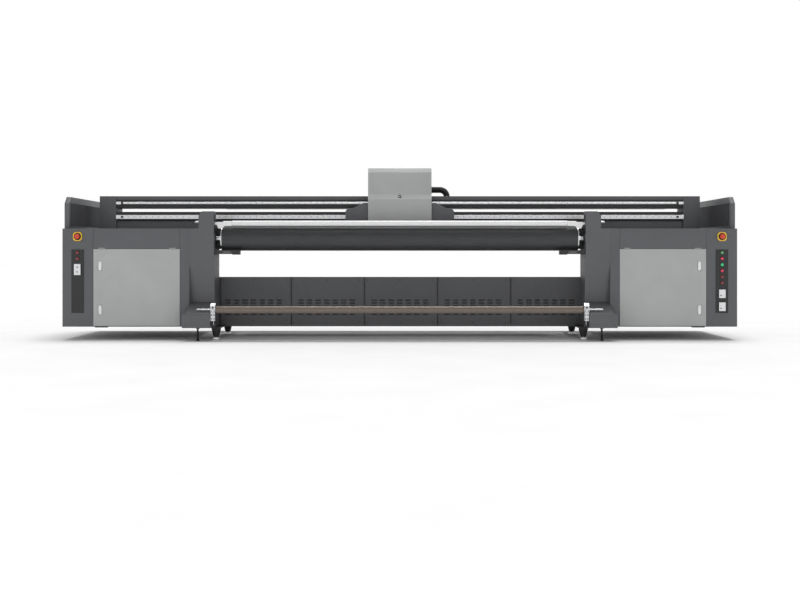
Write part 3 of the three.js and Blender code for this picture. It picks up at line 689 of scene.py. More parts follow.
def make_vents():
    """Panels with seven columns and six rows of punched slots."""
    pitch, rise, lowest = 0.082, 0.0268, 0.222
    half, tall = 0.0215, 0.0060
    for number in range(1, 6):
        node = f"vent_panel_{number}"
        low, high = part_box(node)
        centre_x = (number - 3) * VENT_PITCH
        panel = Shape(node)
        slots = Shape()
        for column in range(-3, 4):
            for level in range(6):
                x, z = centre_x + column * pitch, lowest + level * rise
                ends = [(x + s * (half + tall * math.cos(math.radians(a))),
                    z + s * tall * math.sin(math.radians(a))) for s in (1, -1) for a in (-90, -60, -30, 0,
                    30, 60, 90)]
                slots.prism(ends, "Y", low.y - 0.01, low.y + 0.030, bevel=0)
        panel.cut(slots)
        panel.piece(f"{node}_shell", "vent", replaces=[node])
        # A dark strip and screws at each panel's left edge, in the shadow finish: painted shade of the seam
        # between panels.
        trim = Shape()
        trim.box((low.x + 0.006, low.y - 0.0035, low.z + 0.01), (low.x + 0.018, low.y + 0.0005,
            high.z - 0.002), bevel=1)
        for level in (low.z + 0.04, high.z - 0.03):
            for x in (low.x + 0.035, centre_x, high.x - 0.035):
                trim.bolt((x, low.y, level), 5, 3)
        trim.piece(f"{node}_trim", "shadow")


def vent_lips():
    """Turned-up edges that bring the outermost panels down to the level of the others."""
    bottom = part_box("vent_panel_3")[0].z
    skid = POST_INNER - 0.0590
    for node, sign in (("vent_panel_1", -1), ("vent_panel_5", 1)):
        low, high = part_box(node)
        near = min(abs(low.x), abs(high.x))
        lip = Shape().box((sign * (near + 0.0005), low.y, bottom),
            (sign * skid, low.y + 0.012, low.z + 0.0005), bevel=0.8)
        lip.piece(f"{node}_lip", "vent")


def make_feet():
    """Machine feet: black leg, hex nut, threaded stem and a bright pad."""
    for name in ("front_left_foot", "front_right_foot", "rear_left_foot", "rear_right_foot"):
        centre = middle(name)
        base = (centre.x, centre.y, 0)
        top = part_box(name)[1].z
        pad = trace(0, 0, (0, 0), (0, 40.5), (1.5, 42), (6, 42), (8.5, 39.5), (9, 33.5), (16.5, 33),
            (18, 31.5), (18, 0))
        Shape().turned(pad, base, "Z", 48).piece(f"{name}_pad", "turned", replaces=[name], angle=25)
        stem = trace(0, 0, (18, 0), (18, 14.5), (20, 14.5), (21, 12.8), (22, 14.5), (23.5, 14.5),
            (24.5, 12.8), (25.5, 14.5), (27, 14.5), (27, 0))
        Shape().turned(stem, base, "Z", 32).piece(f"{name}_stem", "steel", angle=25)
        leg = [*trace(0, 0, (26.5, 0), (26.5, 24.5), (28.5, 26.2), (36, 26.8), (37, 28.5), (62, 34.5),
            (86, 40.5), (88, 42.5), (98, 42.8)), *trace(top, 0, (-1, 42.8), (0, 41.5), (0, 0))]
        Shape().turned(leg, base, "Z", 40).piece(f"{name}_leg", "black", angle=28)


def make_base():
    refine("base_frame", "black", 2)
    refine("platen", "satin", 1.5)
    for side, sign in SIDES:
        end_post(side, sign)
        post_painted_shade(side, sign)
        toe_box(side, sign)
        roller_bracket(side, sign)
    make_rear_cover()


def end_post(side, sign):
    node = f"{side}_end_post"
    refine(node, "dark", 3, 3)
    detail = Shape()
    for z in (1.12, 0.78, 0.745):
        detail.bolt((sign * (POST_INNER + 0.204), FRONT, z), 4.5, 2)
    detail.piece(f"{side}_post_screws", "dark")
    cap = Shape()
    axle = middle("front_roller")
    x = sign * (POST_INNER + 0.0002)
    inward = -sign
    cap.turned([(0, 0.029), (0, 0.052), (inward * 0.004, 0.052), (inward * 0.0055, 0.0505),
        (inward * 0.0055, 0.029)], (x, axle.y, axle.z), "X", 48, closed=True)
    for k in range(4):
        angle = math.radians(45 + 90 * k)
        cap.bolt((x + inward * 0.005, axle.y + 0.041 * math.cos(angle), axle.z + 0.041 * math.sin(angle)),
            3.5, 2.5, "X", inward)
    cap.piece(f"{side}_bearing_flange", "black")


def post_painted_shade(side, sign):
    """Black sheet on the inner face of a post, and the plate behind the roller's bearing, both in painted
    shade.
    """
    shade_sheet = Shape()
    faces = sign * (POST_INNER - 1.4 * MM), sign * (POST_INNER - 0.1 * MM)
    post_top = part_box(f"{side}_end_post")[1].z
    for back, bottom, top in ((0.316, 0.120, 0.985), (0.112, 0.985, post_top - 0.03)):
        shade_sheet.box((faces[0], FRONT + 0.008, bottom), (faces[1], FRONT + back, top), bevel=0.3, segments=1)
    axle = middle("front_roller")
    for centre, hole in ((axle, 25.5 * MM), (middle("guide_roller"), 12 * MM)):
        shade_sheet.cut(Shape().turned([(-2.0, hole), (2.0, hole)], centre, "X", 48))
    shade_sheet.piece(f"{side}_post_painted_shade", "shadow")
    plate = Shape()
    inner = sign * (POST_INNER - 0.038)
    plate.box((inner, axle.y + 0.028, 0.845), (sign * (POST_INNER - 0.0015), axle.y + 0.040, 1.034),
        bevel=2)
    plate.box((inner, row(121), 0.992), (sign * (POST_INNER + 0.070), row(126), 1.045), bevel=1)
    plate.piece(f"{side}_bearing_plate", "shadow")


def toe_box(side, sign):
    node = f"{side}_toe_box"
    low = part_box(node)[0]
    refine(node, "dark", 3, 3)
    stud = Shape()
    place = (sign * 1.860, row(-100), 0)
    height = 0.1225
    profile = trace(0, 0, (0, 0), (0, 17), (1.5, 18.5), (6, 18.5), (9, 12), (13, 9))
    level, thread = 0.015, 0.0026
    while level < height - 0.014:
        profile += trace(level, 0, (0, 9), (0.9, 7.8), (1.8, 9))
        level += thread
    profile += trace(height, 0, (-12, 9), (-12, 16), (0, 16), (0, 0))
    stud.turned([(along, radius) for along, radius in profile], place, "Z", 20)
    stud.piece(f"{side}_stud_foot", "black", angle=25)
    lip = Shape()
    lip.box((sign * (POST_INNER + 0.0035), low.y - 0.0022, 0.2405), (sign * 1.986, low.y + 0.0004, 0.2475),
        bevel=1)
    for x in (POST_INNER + 0.045, 1.86, 1.965):
        lip.bolt((sign * x, low.y, 0.145), 5, 2.5)
    lip.piece(f"{side}_toe_trim", "dark")


def roller_bracket(side, sign):
    """Black bracket under the roller's end, with a sensor plate and its two screws."""
    shape, plate = Shape(), Shape()
    y = row(18)
    end = POST_INNER - 0.0005
    for inner, outer, near, far, foot, head, bevel, segments in ((1.500, end, 0, 0.040, 0.799, 0.836, 2, 2),
        (1.488, 1.560, -0.004, 0.044, 0.793, 0.832, 6, 3), (1.690, end, -0.004, 0.044, 0.793, 0.842, 3, 2)):
        shape.box((sign * inner, y + near, foot), (sign * outer, y + far, head), bevel, segments)
    shape.piece(f"{side}_roller_bracket", "black")
    plate.box((sign * 1.572, y - 0.0035, 0.808), (sign * 1.650, y + 0.0005, 0.826), bevel=1.2)
    for x in (1.582, 1.640):
        plate.bolt((sign * x, y - 0.003, 0.814), 4.5, 3)
    plate.piece(f"{side}_bracket_plate", "dark")


def make_rear_cover():
    low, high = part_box("rear_cover")
    refine("rear_cover", "dark", 2)
    width, rise = 0.72, 0.028  # of one cover panel, and from louvre to louvre
    detail = Shape()
    back = high.y
    for number in range(-2, 3):
        x = number * width
        for level in range(8):
            z = 0.22 + level * rise
            outline = trace(back, z, (-0.5, 10), (1.5, 10), (7, -4), (7, -6), (-0.5, -6))
            detail.prism(outline, "X", x - 0.20, x + 0.20, bevel=0.6, segments=1)
    detail.piece("rear_louvres", "dark")
    seams = Shape()
    for number in range(-2, 3):
        for edge in (-0.345, 0.345):
            for z in (low.z + 0.03, (low.z + high.z) / 2, high.z - 0.03):
                seams.bolt((number * width + edge, back, z), 5, 3, "Y", 1)
    seams.piece("rear_cover_screws", "steel")


# ---- Gantry ----

def make_gantry():
    for node in ("lower_beam", "upper_beam"):
        refine(node, "black", 3, 3)
    for side, _ in SIDES:
        refine(f"{side}_gantry_support", "dark", 3, 3)
    for node in ("upper_rail", "lower_rail"):
        linear_rail(node)
    beam_trim()
    rail_buffers()
    cable_channel()


def linear_rail(node):
    """Profiled rail with a groove along each side and a capped screw every 60 mm."""
    low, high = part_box(node)
    mid = (low.z + high.z) / 2
    tall = (high.z - low.z) / 2
    g = min(0.0035, tall * 0.25)
    front, back = low.y, high.y
    outline = [(front, mid - tall + 0.0015), (front + 0.0015, mid - tall), (front + 0.006, mid - tall),
        (front + 0.009, mid - tall + g), (front + 0.013, mid - tall), (back, mid - tall),
        (back, mid + tall), (front + 0.013, mid + tall), (front + 0.009, mid + tall - g),
        (front + 0.006, mid + tall), (front + 0.0015, mid + tall), (front, mid + tall - 0.0015)]
    rail = Shape().prism(outline, "X", low.x, high.x, bevel=0)
    rail.piece(f"{node}_bar", "rail", replaces=[node])
    caps = Shape()
    pitch = 0.06
    count = int((high.x - low.x - pitch) / pitch)
    for k in range(count + 1):
        x = (low.x + high.x) / 2 + (k - count / 2) * pitch
        caps.turned(trace(0, 0, (0.6, 0), (-0.4, 0), (-0.4, 3.8), (0.2, 4.4), (0.6, 4.4)), (x, front, mid),
            "Y", 16)
    caps.piece(f"{node}_caps", "dark", slot="black_paint")


def beam_trim():
    """Grey strip along the front of the upper beam, and the screws in its top."""
    low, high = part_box("upper_beam")
    trim = Shape()
    for start, stop in ((low.x, -0.0005), (0.0005, high.x)):
        trim.box((start, low.y - 0.0035, high.z - 0.034), (stop, low.y + 0.0002, high.z - 0.0005), bevel=1)
    trim.piece("beam_front_strip", "dark")
    top = Shape()
    for k in range(6):
        start = low.x + (high.x - low.x) * k / 6 + 0.001
        stop = low.x + (high.x - low.x) * (k + 1) / 6 - 0.001
        for x in (start + 0.04, (start + stop) / 2, stop - 0.04):
            top.bolt((x, high.y - 0.03, high.z), 4.5, 2.5, "Z", 1)
            top.bolt((x, low.y + 0.03, high.z), 4.5, 2.5, "Z", 1)
    top.piece("beam_top_screws", "steel")


def rail_buffers():
    """Rubber end stops beside the ends of both rails."""
    for side, sign in SIDES:
        for node, name in (("upper_rail", "upper"), ("lower_rail", "lower")):
            low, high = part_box(node)
            mid = (low.z + high.z) / 2
            end = high.x
            block = Shape()
            block.box((sign * (end - 0.052), low.y - 0.016, mid - 0.013),
                (sign * (end - 0.012), low.y - 0.0008, mid + 0.013), bevel=2)
            block.piece(f"{side}_{name}_end_block", "satin")
            tip = Shape().turned([(0, 0), (0, 0.0085), (-sign * 0.003, 0.0085), (-sign * 0.004, 0.0095),
                (-sign * 0.014, 0.0095), (-sign * 0.017, 0.0065), (-sign * 0.017, 0)],
                (sign * (end - 0.0525), low.y - 0.010, mid), "X", 24)
            tip.piece(f"{side}_{name}_buffer", "rubber")


def cable_channel():
    """Tray behind the gantry with the lower run of the carriage's cable chain in it."""
    refine("cable_tray", "inside", 0.8)
    low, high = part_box("cable_tray")
    chain = Shape()
    floor = low.z + 0.004
    y0, y1 = low.y + 0.012, high.y - 0.012
    x, link = 0.55, 0.048
    while x < high.x - 0.06:
        for y in (y0, y1 - 0.006):
            chain.box((x + 0.001, y, floor), (x + 0.047, y + 0.006, floor + 0.030), bevel=2)
        chain.box((x + 0.012, y0 + 0.006, floor + 0.026), (x + 0.030, y1 - 0.006, floor + 0.0295), bevel=1,
            segments=1)
        chain.box((x + 0.012, y0 + 0.006, floor), (x + 0.030, y1 - 0.006, floor + 0.0035), bevel=1,
            segments=1)
        x += link
    chain.piece("cable_chain", "rubber")
    cables = Shape()
    for k, radius in enumerate((6, 4.5, 7, 5)):
        y = y0 + 0.013 + k * 0.0155
        z = floor + 0.0045 + radius * MM
        cables.turned([(0.53, 0), (0.53, radius * MM), (high.x - 0.03, radius * MM), (high.x - 0.03, 0)],
            (0, y, z), "X", 14)
    cables.piece("chain_cables", "hose")


# ---- Carriage ----

def make_carriage():
    refine("carriage_slider", "satin", 1.5, body="carriage")
    refine("print_head_plate", "satin", 1.5, body="print_head")
    carriage_cover()
    for side, sign in SIDES:
        uv_lamp(side, sign)
    cable_hose()


LOCK_Z = 1.352


def carriage_cover():
    low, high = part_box("carriage_cover")
    refine("carriage_cover", "light", 3, 3, body="print_head")
    upper, lower = row(380), row(350)
    seam = Shape()
    for sign in (-1, 1):
        seam.box((sign * 0.262, upper - 0.0012, 1.395), (sign * 0.2635, upper + 0.0004, 1.580), bevel=0.3,
            segments=1)
        for x, y, z in ((0.285, upper, 1.56), (0.285, upper, 1.405), (0.285, lower, 1.30),
            (0.285, lower, 1.14)):
            seam.bolt((sign * x, y, z), 4.5, 2)
    seam.piece("cover_seams", "light", "print_head")
    foot, head = low.z + 0.2115, low.z + 0.2625
    # The sloped band takes the band finish, a lighter copy of the cover's paint: a painted highlight where the
    # slope faces up to the light.
    slope = [(row(349.5), foot), (row(379.4), head), (row(381), head), (row(351), foot)]
    band = Shape().prism(slope, "X", low.x + 0.0006, high.x - 0.0006, bevel=0)
    band.piece("cover_band", "band", "print_head")
    lock = Shape()
    oval = [(0.0135 * math.cos(math.radians(a)),
        LOCK_Z - 0.004 + 0.021 * math.sin(math.radians(a))) for a in range(0, 360, 12)]
    lock.prism(oval, "Y", row(357), row(384), bevel=2, segments=3)
    lock.cut(Shape().turned([(row(350), 0.0068), (row(360), 0.0068)], (0, 0, LOCK_Z), "Y", 28))
    lock.piece("cover_lock", "acrylic", "print_head")
    barrel = Shape().turned([(row(360.1), 0), (row(360.1), 0.0060), (row(358.5), 0.0055), (row(358.5), 0)],
        (0, 0, LOCK_Z), "Y", 28)
    barrel.piece("cover_lock_barrel", "satin", "print_head")
    cap = Shape()
    top = high.z
    y = row(470)
    for offset in (-0.022, 0.018):
        cap.turned(trace(0, 0, (0, 0), (0, 14), (6, 13.5), (9, 10), (9.5, 0)), (offset, y, top - 0.0002),
            "Z", 28)
    cap.piece("cover_lift_screws", "satin", "print_head", angle=25)
    vents = Shape()
    back = high.y
    for sign in (-1, 1):
        for level in range(7):
            z = 1.40 + level * 0.022 + 0.04
            x = sign * high.x
            outline = [(x - sign * 0.0004, z + 0.007), (x + sign * 0.0012, z + 0.007),
                (x + sign * 0.005, z - 0.003), (x + sign * 0.005, z - 0.005),
                (x - sign * 0.0004, z - 0.005)]
            vents.prism(outline, "Y", row(600), row(760), bevel=0.4, segments=1)
    for level in range(8):
        z = 1.40 + level * 0.024 + 0.02
        outline = trace(back, z, (-0.4, 8), (1.2, 8), (6, -3), (6, -5), (-0.4, -5))
        vents.prism(outline, "X", -0.16, 0.16, bevel=0.5, segments=1)
    vents.piece("cover_louvres", "light", "print_head")


def uv_lamp(side, sign):
    """Lamp housing with four screws in its front and a dark window below."""
    node = f"{side}_uv_lamp"
    low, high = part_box(node)
    refine(node, "dark", 5, 3, body="print_head")
    screws = Shape()
    for x in (0.325, 0.502):
        for z in (low.z + 0.016, low.z + 0.115):
            screws.bolt((sign * x, low.y, z), 4, 2.5)
    screws.piece(f"{side}_lamp_screws", "dark", "print_head")
    window = Shape()
    window.box((sign * 0.345, low.y + 0.02, low.z - 0.0025), (sign * 0.500, high.y - 0.02, low.z + 0.0005),
        bevel=1)
    window.piece(f"{side}_lamp_window", "glass", "print_head")


def cable_hose():
    """Ribbed hose elbow from the carriage down to the cable chain, with a clamp at its upper end."""
    low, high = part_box("cable_elbow")
    radius = (high.y - low.y) / 2
    start = Vector((low.x, (low.y + high.y) / 2, high.z - radius))
    turn = 0.068
    straight = (high.x - radius) - start.x - turn
    length = straight + turn * math.pi / 2 + (start.z - turn - low.z)
    step, rib_pitch = 0.0022, 0.0088
    path, radii = [], []
    count = int(length / step)
    for k in range(count + 1):
        s = length * k / count
        if s < straight:
            place = start + Vector((s, 0, 0))
        elif s < straight + turn * math.pi / 2:
            a = (s - straight) / turn
            place = start + Vector((straight + turn * math.sin(a), 0, -turn * (1 - math.cos(a))))
        else:
            drop = s - straight - turn * math.pi / 2
            place = start + Vector((straight + turn, 0, -turn - drop))
        phase = (s / rib_pitch) % 1
        rib = 0.5 + 0.5 * math.cos(2 * math.pi * phase)
        path.append(place)
        radii.append(radius * 1.06 - 0.0030 * (1 - rib ** 0.6))
    Shape().swept(path, radii, 32).piece("hose_elbow", "hose", "print_head", ["cable_elbow"], angle=60)
    gland = Shape()
    gland.turned(trace(0, radius, (0.3, 0.2), (0.3, 10), (6, 10), (8, 8), (8, 4.5), (20, 3.5), (21, 2.5),
        (21, 0.2)), (start.x, start.y, start.z), "X", 36, closed=True)
    gland.piece("hose_gland", "black", "print_head", angle=25)


# ---- Cabinets ----

def make_cabinets():
    for side, sign in SIDES:
        cabinet_shell(side)
        wing_panel(side, sign)
        door(side, sign)
        control_strip(side, sign)
        rear_panel(side, sign)
    electrical_bay()
    ink_bay()


def cabinet_shell(side):
    node = f"{side}_cabinet"
    shell = Shape(node)
    grooves = Shape()
    door_low, door_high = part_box(f"{side}_door")
    for x in (door_low.x, door_high.x):
        grooves.box((x - 0.0018, FRONT - 0.01, door_high.z + 0.001),
            (x + 0.0018, FRONT + 0.0035, CABINET_TOP + 0.01), bevel=0)
    shell.cut(grooves)
    corner = [
        edge
        for edge in shell.mesh.edges
        if all(abs(v.co.y - FRONT) < 1e-4 and abs(abs(v.co.x) - CABINET_OUTER) < 1e-4 for v in edge.verts)
    ]
    bmesh.ops.bevel(shell.mesh, geom=corner, offset=11 * MM, segments=5, profile=0.5, affect="EDGES")
    shell.rounded(2.5, 2)
    shell.piece(f"{node}_shell", "header", replaces=[node])


def wing_panel(side, sign):
    node = f"{side}_wing_panel"
    refine(node, "dark", 6, 3)
    low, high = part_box(node)
    inner = low.x if sign > 0 else high.x
    # The inset plate on the wing's inner face takes the wing finish, darker than the paint round it: painted
    # shade.
    frame_shape = Shape()
    x0, x1 = sorted((inner - sign * 0.0045, inner + sign * 0.0005))
    frame_shape.box((x0, low.y + 0.05, low.z + 0.03), (x1, high.y - 0.04, high.z - 0.06), bevel=2)
    for y in (low.y + 0.075, (low.y + high.y) / 2, high.y - 0.065):
        for z in (low.z + 0.05, high.z - 0.08):
            frame_shape.bolt((x0 if sign > 0 else x1, y, z), 5, 2.5, "X", -sign)
    frame_shape.piece(f"{side}_wing_inset", "wing")


def door(side, sign):
    node = f"{side}_door"
    low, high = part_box(node)
    refine(node, "light", 2, 3, body=node)
    stiff = Shape()
    middle_x = (low.x + high.x) / 2
    back = FRONT + 0.004
    stiff.box((middle_x - 0.03, back, low.z + 0.016), (middle_x + 0.03, back + 0.012, high.z - 0.016),
        bevel=2)
    stiff.piece(f"{side}_door_stiffener", "light", node)
    for row_name in ("upper", "lower"):
        latch(side, row_name)
    tab = Shape()
    z = high.z + 0.003
    for x in (sign * 2.114, sign * 2.772):
        tab.box((x - 0.030, FRONT - 0.0035, z + 0.0005), (x + 0.030, FRONT + 0.0002, z + 0.0075), bevel=1.2)
    tab.piece(f"{side}_door_pull_lip", "light")
    catch = Shape()
    catch.box((sign * 2.722, FRONT + 0.004, CABINET_BOTTOM - 0.0075),
        (sign * 2.836, FRONT + 0.045, CABINET_BOTTOM + 0.0002))
    catch.piece(f"{side}_cabinet_catch", "black")


def oblong(low, high, grow):
    """Outline of a latch with round ends, made wider all round by grow."""
    x, half = (low.x + high.x) / 2, (high.x - low.x) / 2
    steps = 10
    outline = []
    for facing, level in ((1, high.z - half), (-1, low.z + half)):
        for k in range(steps + 1):
            angle = math.pi * k / steps
            reach = facing * (half + grow)
            outline.append((x + reach * math.cos(angle), level + reach * math.sin(angle)))
    return outline


def latch(side, row_name):
    """Flush latch: its paddle and keyhole turn, and its frame and cup stay on the door."""
    node, on_door = f"{side}_{row_name}_latch", f"{side}_door"
    low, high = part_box(node)
    paddle = Shape().prism(oblong(low, high, 0), "Y", low.y, high.y, bevel=1.6, segments=3)
    paddle.piece(f"{node}_paddle", "white", node, [node])
    key = Shape()
    key.turned(trace(0, 0, (0.2, 0), (0.2, 6.2), (-0.6, 6.2), (-1, 5.5), (-1, 0)),
        ((low.x + high.x) / 2, low.y, high.z - 0.016), "Y", 20)
    key.piece(f"{node}_keyhole", "satin", node)
    hole = oblong(low, high, 0.0040)
    surround = Shape().prism(oblong(low, high, 0.0065), "Y", FRONT - 0.0016, FRONT + 0.0002, bevel=0.8)
    surround.cut(Shape().prism(hole, "Y", FRONT - 0.01, FRONT + 0.01, bevel=0))
    surround.piece(f"{node}_frame", "light", on_door)
    Shape().prism(hole, "Y", FRONT + 0.0072, FRONT + 0.0090, bevel=0).piece(f"{node}_cup", "white", on_door)


def control_strip(side, sign):
    """Black strip with the buttons and switches, and the collar of the emergency stop."""
    x = sign * COLUMN_X
    strip = Shape().box((x - 0.0575, FRONT - 0.0035, 0.251), (x + 0.0575, FRONT - 0.0001, 0.841))
    holes = Shape()
    buttons = [f"{side}_button_{n}" for n in range(1, 7) if f"{side}_button_{n}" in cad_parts]
    switches = [n for n in ("left_switch", "right_upper_switch",
        "right_lower_switch") if n.startswith(side)]
    for node in buttons:
        z = middle(node).z
        holes.turned([(FRONT - 0.02, 0.013), (FRONT + 0.02, 0.013)], (x, 0, z), "Y", 24)
    for node in switches:
        z = middle(node).z
        holes.turned([(FRONT - 0.02, 0.0145), (FRONT + 0.02, 0.0145)], (x, 0, z), "Y", 24)
    strip.cut(holes)
    strip.piece(f"{side}_control_strip", "acrylic")

    for node in buttons:
        push_button(node, BUTTON_LENSES[node])
    for node in switches:
        rocker_switch(node)
    emergency_stop(side)


BUTTON_LENSES = {
    "left_button_1": "dim_red",
    "left_button_2": "dim_red",
    "right_button_1": "dim_green",
    "right_button_2": "lit_red",
    "right_button_3": "lit_green",
    "right_button_4": "lit_red",
    "right_button_5": "dim_red",
    "right_button_6": "dim_red",
}


def push_button(node, finish):
    low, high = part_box(node)
    centre = middle(node)
    front, spot = low.y, (centre.x, 0, centre.z)
    profile = trace(front, 0, (0.6, 0), (0.3, 6), (0, 10.5), (0.4, 13), (1.4, 13.9), (5.8, 14), (5.8, 0))
    Shape().turned(profile, spot, "Y", 36).piece(f"{node}_lens", finish, node, [node], angle=40)
    sleeve = [*trace(front, 0, (2.2, 0), (2.2, 14.3), (2.8, 14.9), (6, 14.9), (6, 10.5)), (high.y, 0.0105),
        (high.y, 0.0)]
    Shape().turned(sleeve, spot, "Y", 36).piece(f"{node}_sleeve", "acrylic", node, angle=30)
    bezel = trace(FRONT, 0, (-3.3, 15.7), (-6.8, 15.7), (-7.6, 16.6), (-7, 18.6), (-4.8, 19.8),
        (-3.3, 19.8))
    Shape().turned(bezel, spot, "Y", 40, closed=True).piece(f"{node}_bezel", "black", angle=25)


def rocker_switch(node):
    """Silver rocker block with two small dark marks and a stem behind it."""
    low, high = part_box(node)
    centre = middle(node)
    plate = (low.y, low.y + 0.007)
    block = Shape().box((low.x, plate[0], low.z), (high.x, plate[1], high.z), bevel=2.2, segments=3)
    dish = Shape().box((low.x + 0.008, plate[0] - 0.004, low.z + 0.008),
        (high.x - 0.008, plate[0] + 0.0012, centre.z - 0.002), bevel=0)
    dish.box((low.x + 0.008, plate[0] - 0.004, centre.z + 0.002),
        (high.x - 0.008, plate[0] + 0.0012, high.z - 0.008), bevel=0)
    block.cut(dish)
    block.turned([(plate[1] - 0.0005, 0.0088), (high.y, 0.0088)], (centre.x, 0, centre.z), "Y", 24)
    block.piece(f"{node}_rocker", "nickel", node, [node])
    marks = Shape()
    tall = high.z - low.z
    places = ((0.0, 0.22), (0.0, -0.22)) if tall > 0.09 else ((-0.012, -0.20),)
    for x, share in places:
        z = centre.z + share * tall
        marks.box((centre.x + x - 0.008, plate[0] + 0.0002, z - 0.0055),
            (centre.x + x + 0.008, plate[0] + 0.0018, z + 0.0055), bevel=0.8)
    marks.piece(f"{node}_marks", "inside_mark", node)


def emergency_stop(side):
    node = f"{side}_e_stop"
    low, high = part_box(node)
    centre = middle(node)
    front, spot = low.y, (centre.x, 0, centre.z)
    cap = [*trace(front, 0, (0, 0), (0, 12), (0.8, 17.5), (3, 21.5), (6, 23.7), (10, 24), (12.5, 22.5),
        (15.5, 18), (15.8, 11.8)), (high.y, 0.0118), (high.y, 0)]
    head = Shape().turned(cap, spot, "Y", 48)
    recess = Shape()
    for k in range(3):
        angle = math.radians(90 + 120 * k)
        place = (centre.x + 0.0135 * math.cos(angle), 0, centre.z + 0.0135 * math.sin(angle))
        recess.turned([(front - 0.01, 0.0038), (front + 0.0010, 0.0038)], place, "Y", 16)
    head.cut(recess)
    head.piece(f"{node}_mushroom", "red", node, [node], angle=40)
    collar = Shape()
    size, corner, depth = 0.042, 0.030, 0.0105
    steps = 6
    outline = []
    for cx, cz, start in ((1, 1, 0), (-1, 1, 90), (-1, -1, 180), (1, -1, 270)):
        for k in range(steps + 1):
            angle = math.radians(start + 90 * k / steps)
            outline.append((centre.x + cx * (size - corner) + corner * math.cos(angle),
                centre.z + cz * (size - corner) + corner * math.sin(angle)))
    collar.prism(outline, "Y", FRONT - depth, FRONT + 0.0001, bevel=2, segments=3)
    collar.cut(Shape().turned([(FRONT - 0.05, 0.0340), (FRONT + 0.01, 0.0340)], spot, "Y", 40))
    collar.piece(f"{side}_e_stop_collar", "yellow", angle=30)
    well = Shape().turned(trace(FRONT, 0, (-4.5, 12.8), (-4.5, 33.7), (0.1, 33.7), (0.1, 12.8)), spot, "Y",
        40, closed=True)
    well.piece(f"{side}_e_stop_well", "rubber", slot="black_paint")


def rear_panel(side, sign):
    """Service panel on the cabinet's back, with louvres, screws and a fan guard."""
    x0, x1 = sorted((sign * 2.06, sign * 3.05))
    panel = Shape().box((x0, BACK - 0.0003, 0.18), (x1, BACK + 0.0030, 0.98), bevel=1.4)
    for x in (x0 + 0.02, (x0 + x1) / 2, x1 - 0.02):
        for z in (0.20, 0.58, 0.96):
            panel.bolt((x, BACK + 0.003, z), 4.5, 2.5, "Y", 1)
    panel.piece(f"{side}_rear_panel", "dark")
    louvres = Shape()
    centre_x, offset = (x0 + x1) / 2, 0.22
    for column in (-1, 1):
        for level in range(9):
            z = 0.27 + level * 0.03
            face = BACK + 0.003
            outline = trace(face, z, (-0.5, 11), (1.2, 11), (7, -4), (7, -6.5), (-0.5, -6.5))
            louvres.prism(outline, "X", centre_x + column * offset - 0.14,
                centre_x + column * offset + 0.14, bevel=0.6, segments=1)
    louvres.piece(f"{side}_rear_louvres", "dark")
    guard = Shape()
    for column in (-1, 1):
        spot = (centre_x + column * offset, BACK + 0.003, 0.80)
        for radius in (0.020, 0.034, 0.048, 0.062):
            guard.turned(trace(0, radius, (0, -1.3), (0, 1.3), (2.6, 1.3), (2.6, -1.3)), spot, "Y", 36,
                closed=True)
        for angle in (45, 135):
            direction = Vector((math.cos(math.radians(angle)), 0, math.sin(math.radians(angle))))
            start = Vector(spot) + direction * 0.072 + Vector((0, 0.004, 0))
            stop = Vector(spot) - direction * 0.072 + Vector((0, 0.004, 0))
            guard.swept([start, (start + stop) / 2, stop], [0.0016] * 3, 10)
    guard.piece(f"{side}_fan_guard", "satin")


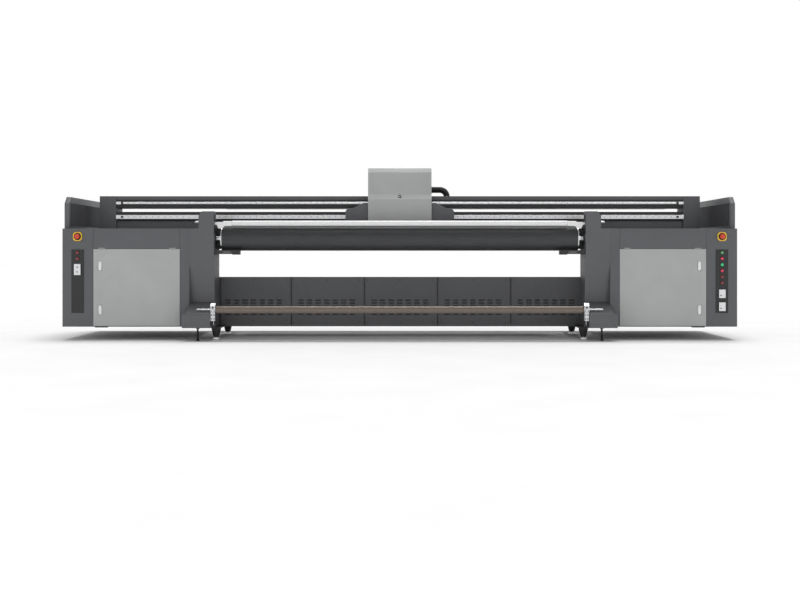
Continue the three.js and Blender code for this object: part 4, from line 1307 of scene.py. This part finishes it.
def electrical_bay():
    """Mounting plate in the left cabinet with drives, breakers and wiring ducts."""
    x0, x1 = -3.07, -2.03
    y = row(640)
    plate = Shape().box((x0, y, 0.17), (x1, y + 0.003, 1.0), bevel=1)
    plate.piece("electrical_plate", "inside")
    ducts = Shape()
    for z in (0.21, 0.47, 0.73, 0.955):
        ducts.box((x0 + 0.03, y - 0.06, z), (x1 - 0.03, y - 0.0005, z + 0.04), bevel=2)
    ducts.piece("wiring_ducts", "blue")
    drives = Shape()
    for k in range(5):
        x = x0 + 0.06 + k * 0.19
        drives.box((x, y - 0.17, 0.525), (x + 0.14, y - 0.0005, 0.715), bevel=5, segments=3)
        for fin in range(5):
            drives.box((x + 0.142, y - 0.15, 0.545 + fin * 0.03), (x + 0.152, y - 0.01, 0.551 + fin * 0.03),
                bevel=0.8, segments=1)
    drives.piece("servo_drives", "black")
    breakers = Shape()
    for k in range(16):
        x = x0 + 0.08 + k * 0.052
        breakers.box((x, y - 0.075, 0.80), (x + 0.0468, y - 0.0005, 0.89), bevel=2)
    breakers.piece("breakers", "white")
    supplies = Shape()
    for k in range(3):
        x = x0 + 0.07 + k * 0.31
        supplies.box((x, y - 0.12, 0.265), (x + 0.24, y - 0.0005, 0.455), bevel=3)
    supplies.piece("power_supplies", "satin")


def ink_bay():
    """Shelf in the right cabinet with a row of ink tanks, caps and tubes."""
    y = row(240)
    shelf = Shape().box((2.02, y - 0.02, 0.330), (3.08, y + 0.30, 0.336), bevel=1)
    shelf.box((2.02, y - 0.024, 0.330), (3.08, y - 0.02, 0.36), bevel=1)
    shelf.piece("ink_shelf", "inside")
    tanks, caps, tubes = Shape(), Shape(), Shape()
    first, pitch = 2.10, 0.155
    for k in range(6):
        x = first + k * pitch
        tanks.box((x, y, 0.337), (x + 0.11, y + 0.20, 0.60), bevel=14, segments=4)
        tanks.turned(trace(0, 0, (598, 0), (598, 24), (616, 24), (616, 0)), (x + 0.055, y + 0.10, 0), "Z",
            28)
        caps.turned(trace(0, 0, (612, 24.8), (612, 29), (612.5, 30), (634, 30), (637, 27), (637, 0)),
            (x + 0.055, y + 0.10, 0), "Z", 32)
        points = []
        for step in range(25):
            t = step / 24
            points.append(Vector((x + 0.055, y + 0.10 + 0.34 * t,
                0.634 + 0.12 * math.sin(math.pi * min(1, t * 1.15)) - 0.02 * t)))
        tubes.swept(points, [0.005] * 25, 12)
    tanks.piece("ink_tanks", "tank")
    caps.piece("ink_caps", "black", angle=25)
    tubes.piece("ink_tubes", "hose")


# ---- Build ----

add_camera()
MATERIALS = make_materials()
add_studio()
add_floor()
make_base()
make_vents()
vent_lips()
make_feet()
conveyor_roller("front_roller")
conveyor_roller("rear_roller")
make_belt()
make_guide_roller()
make_takeup()
make_gantry()
make_carriage()
make_cabinets()
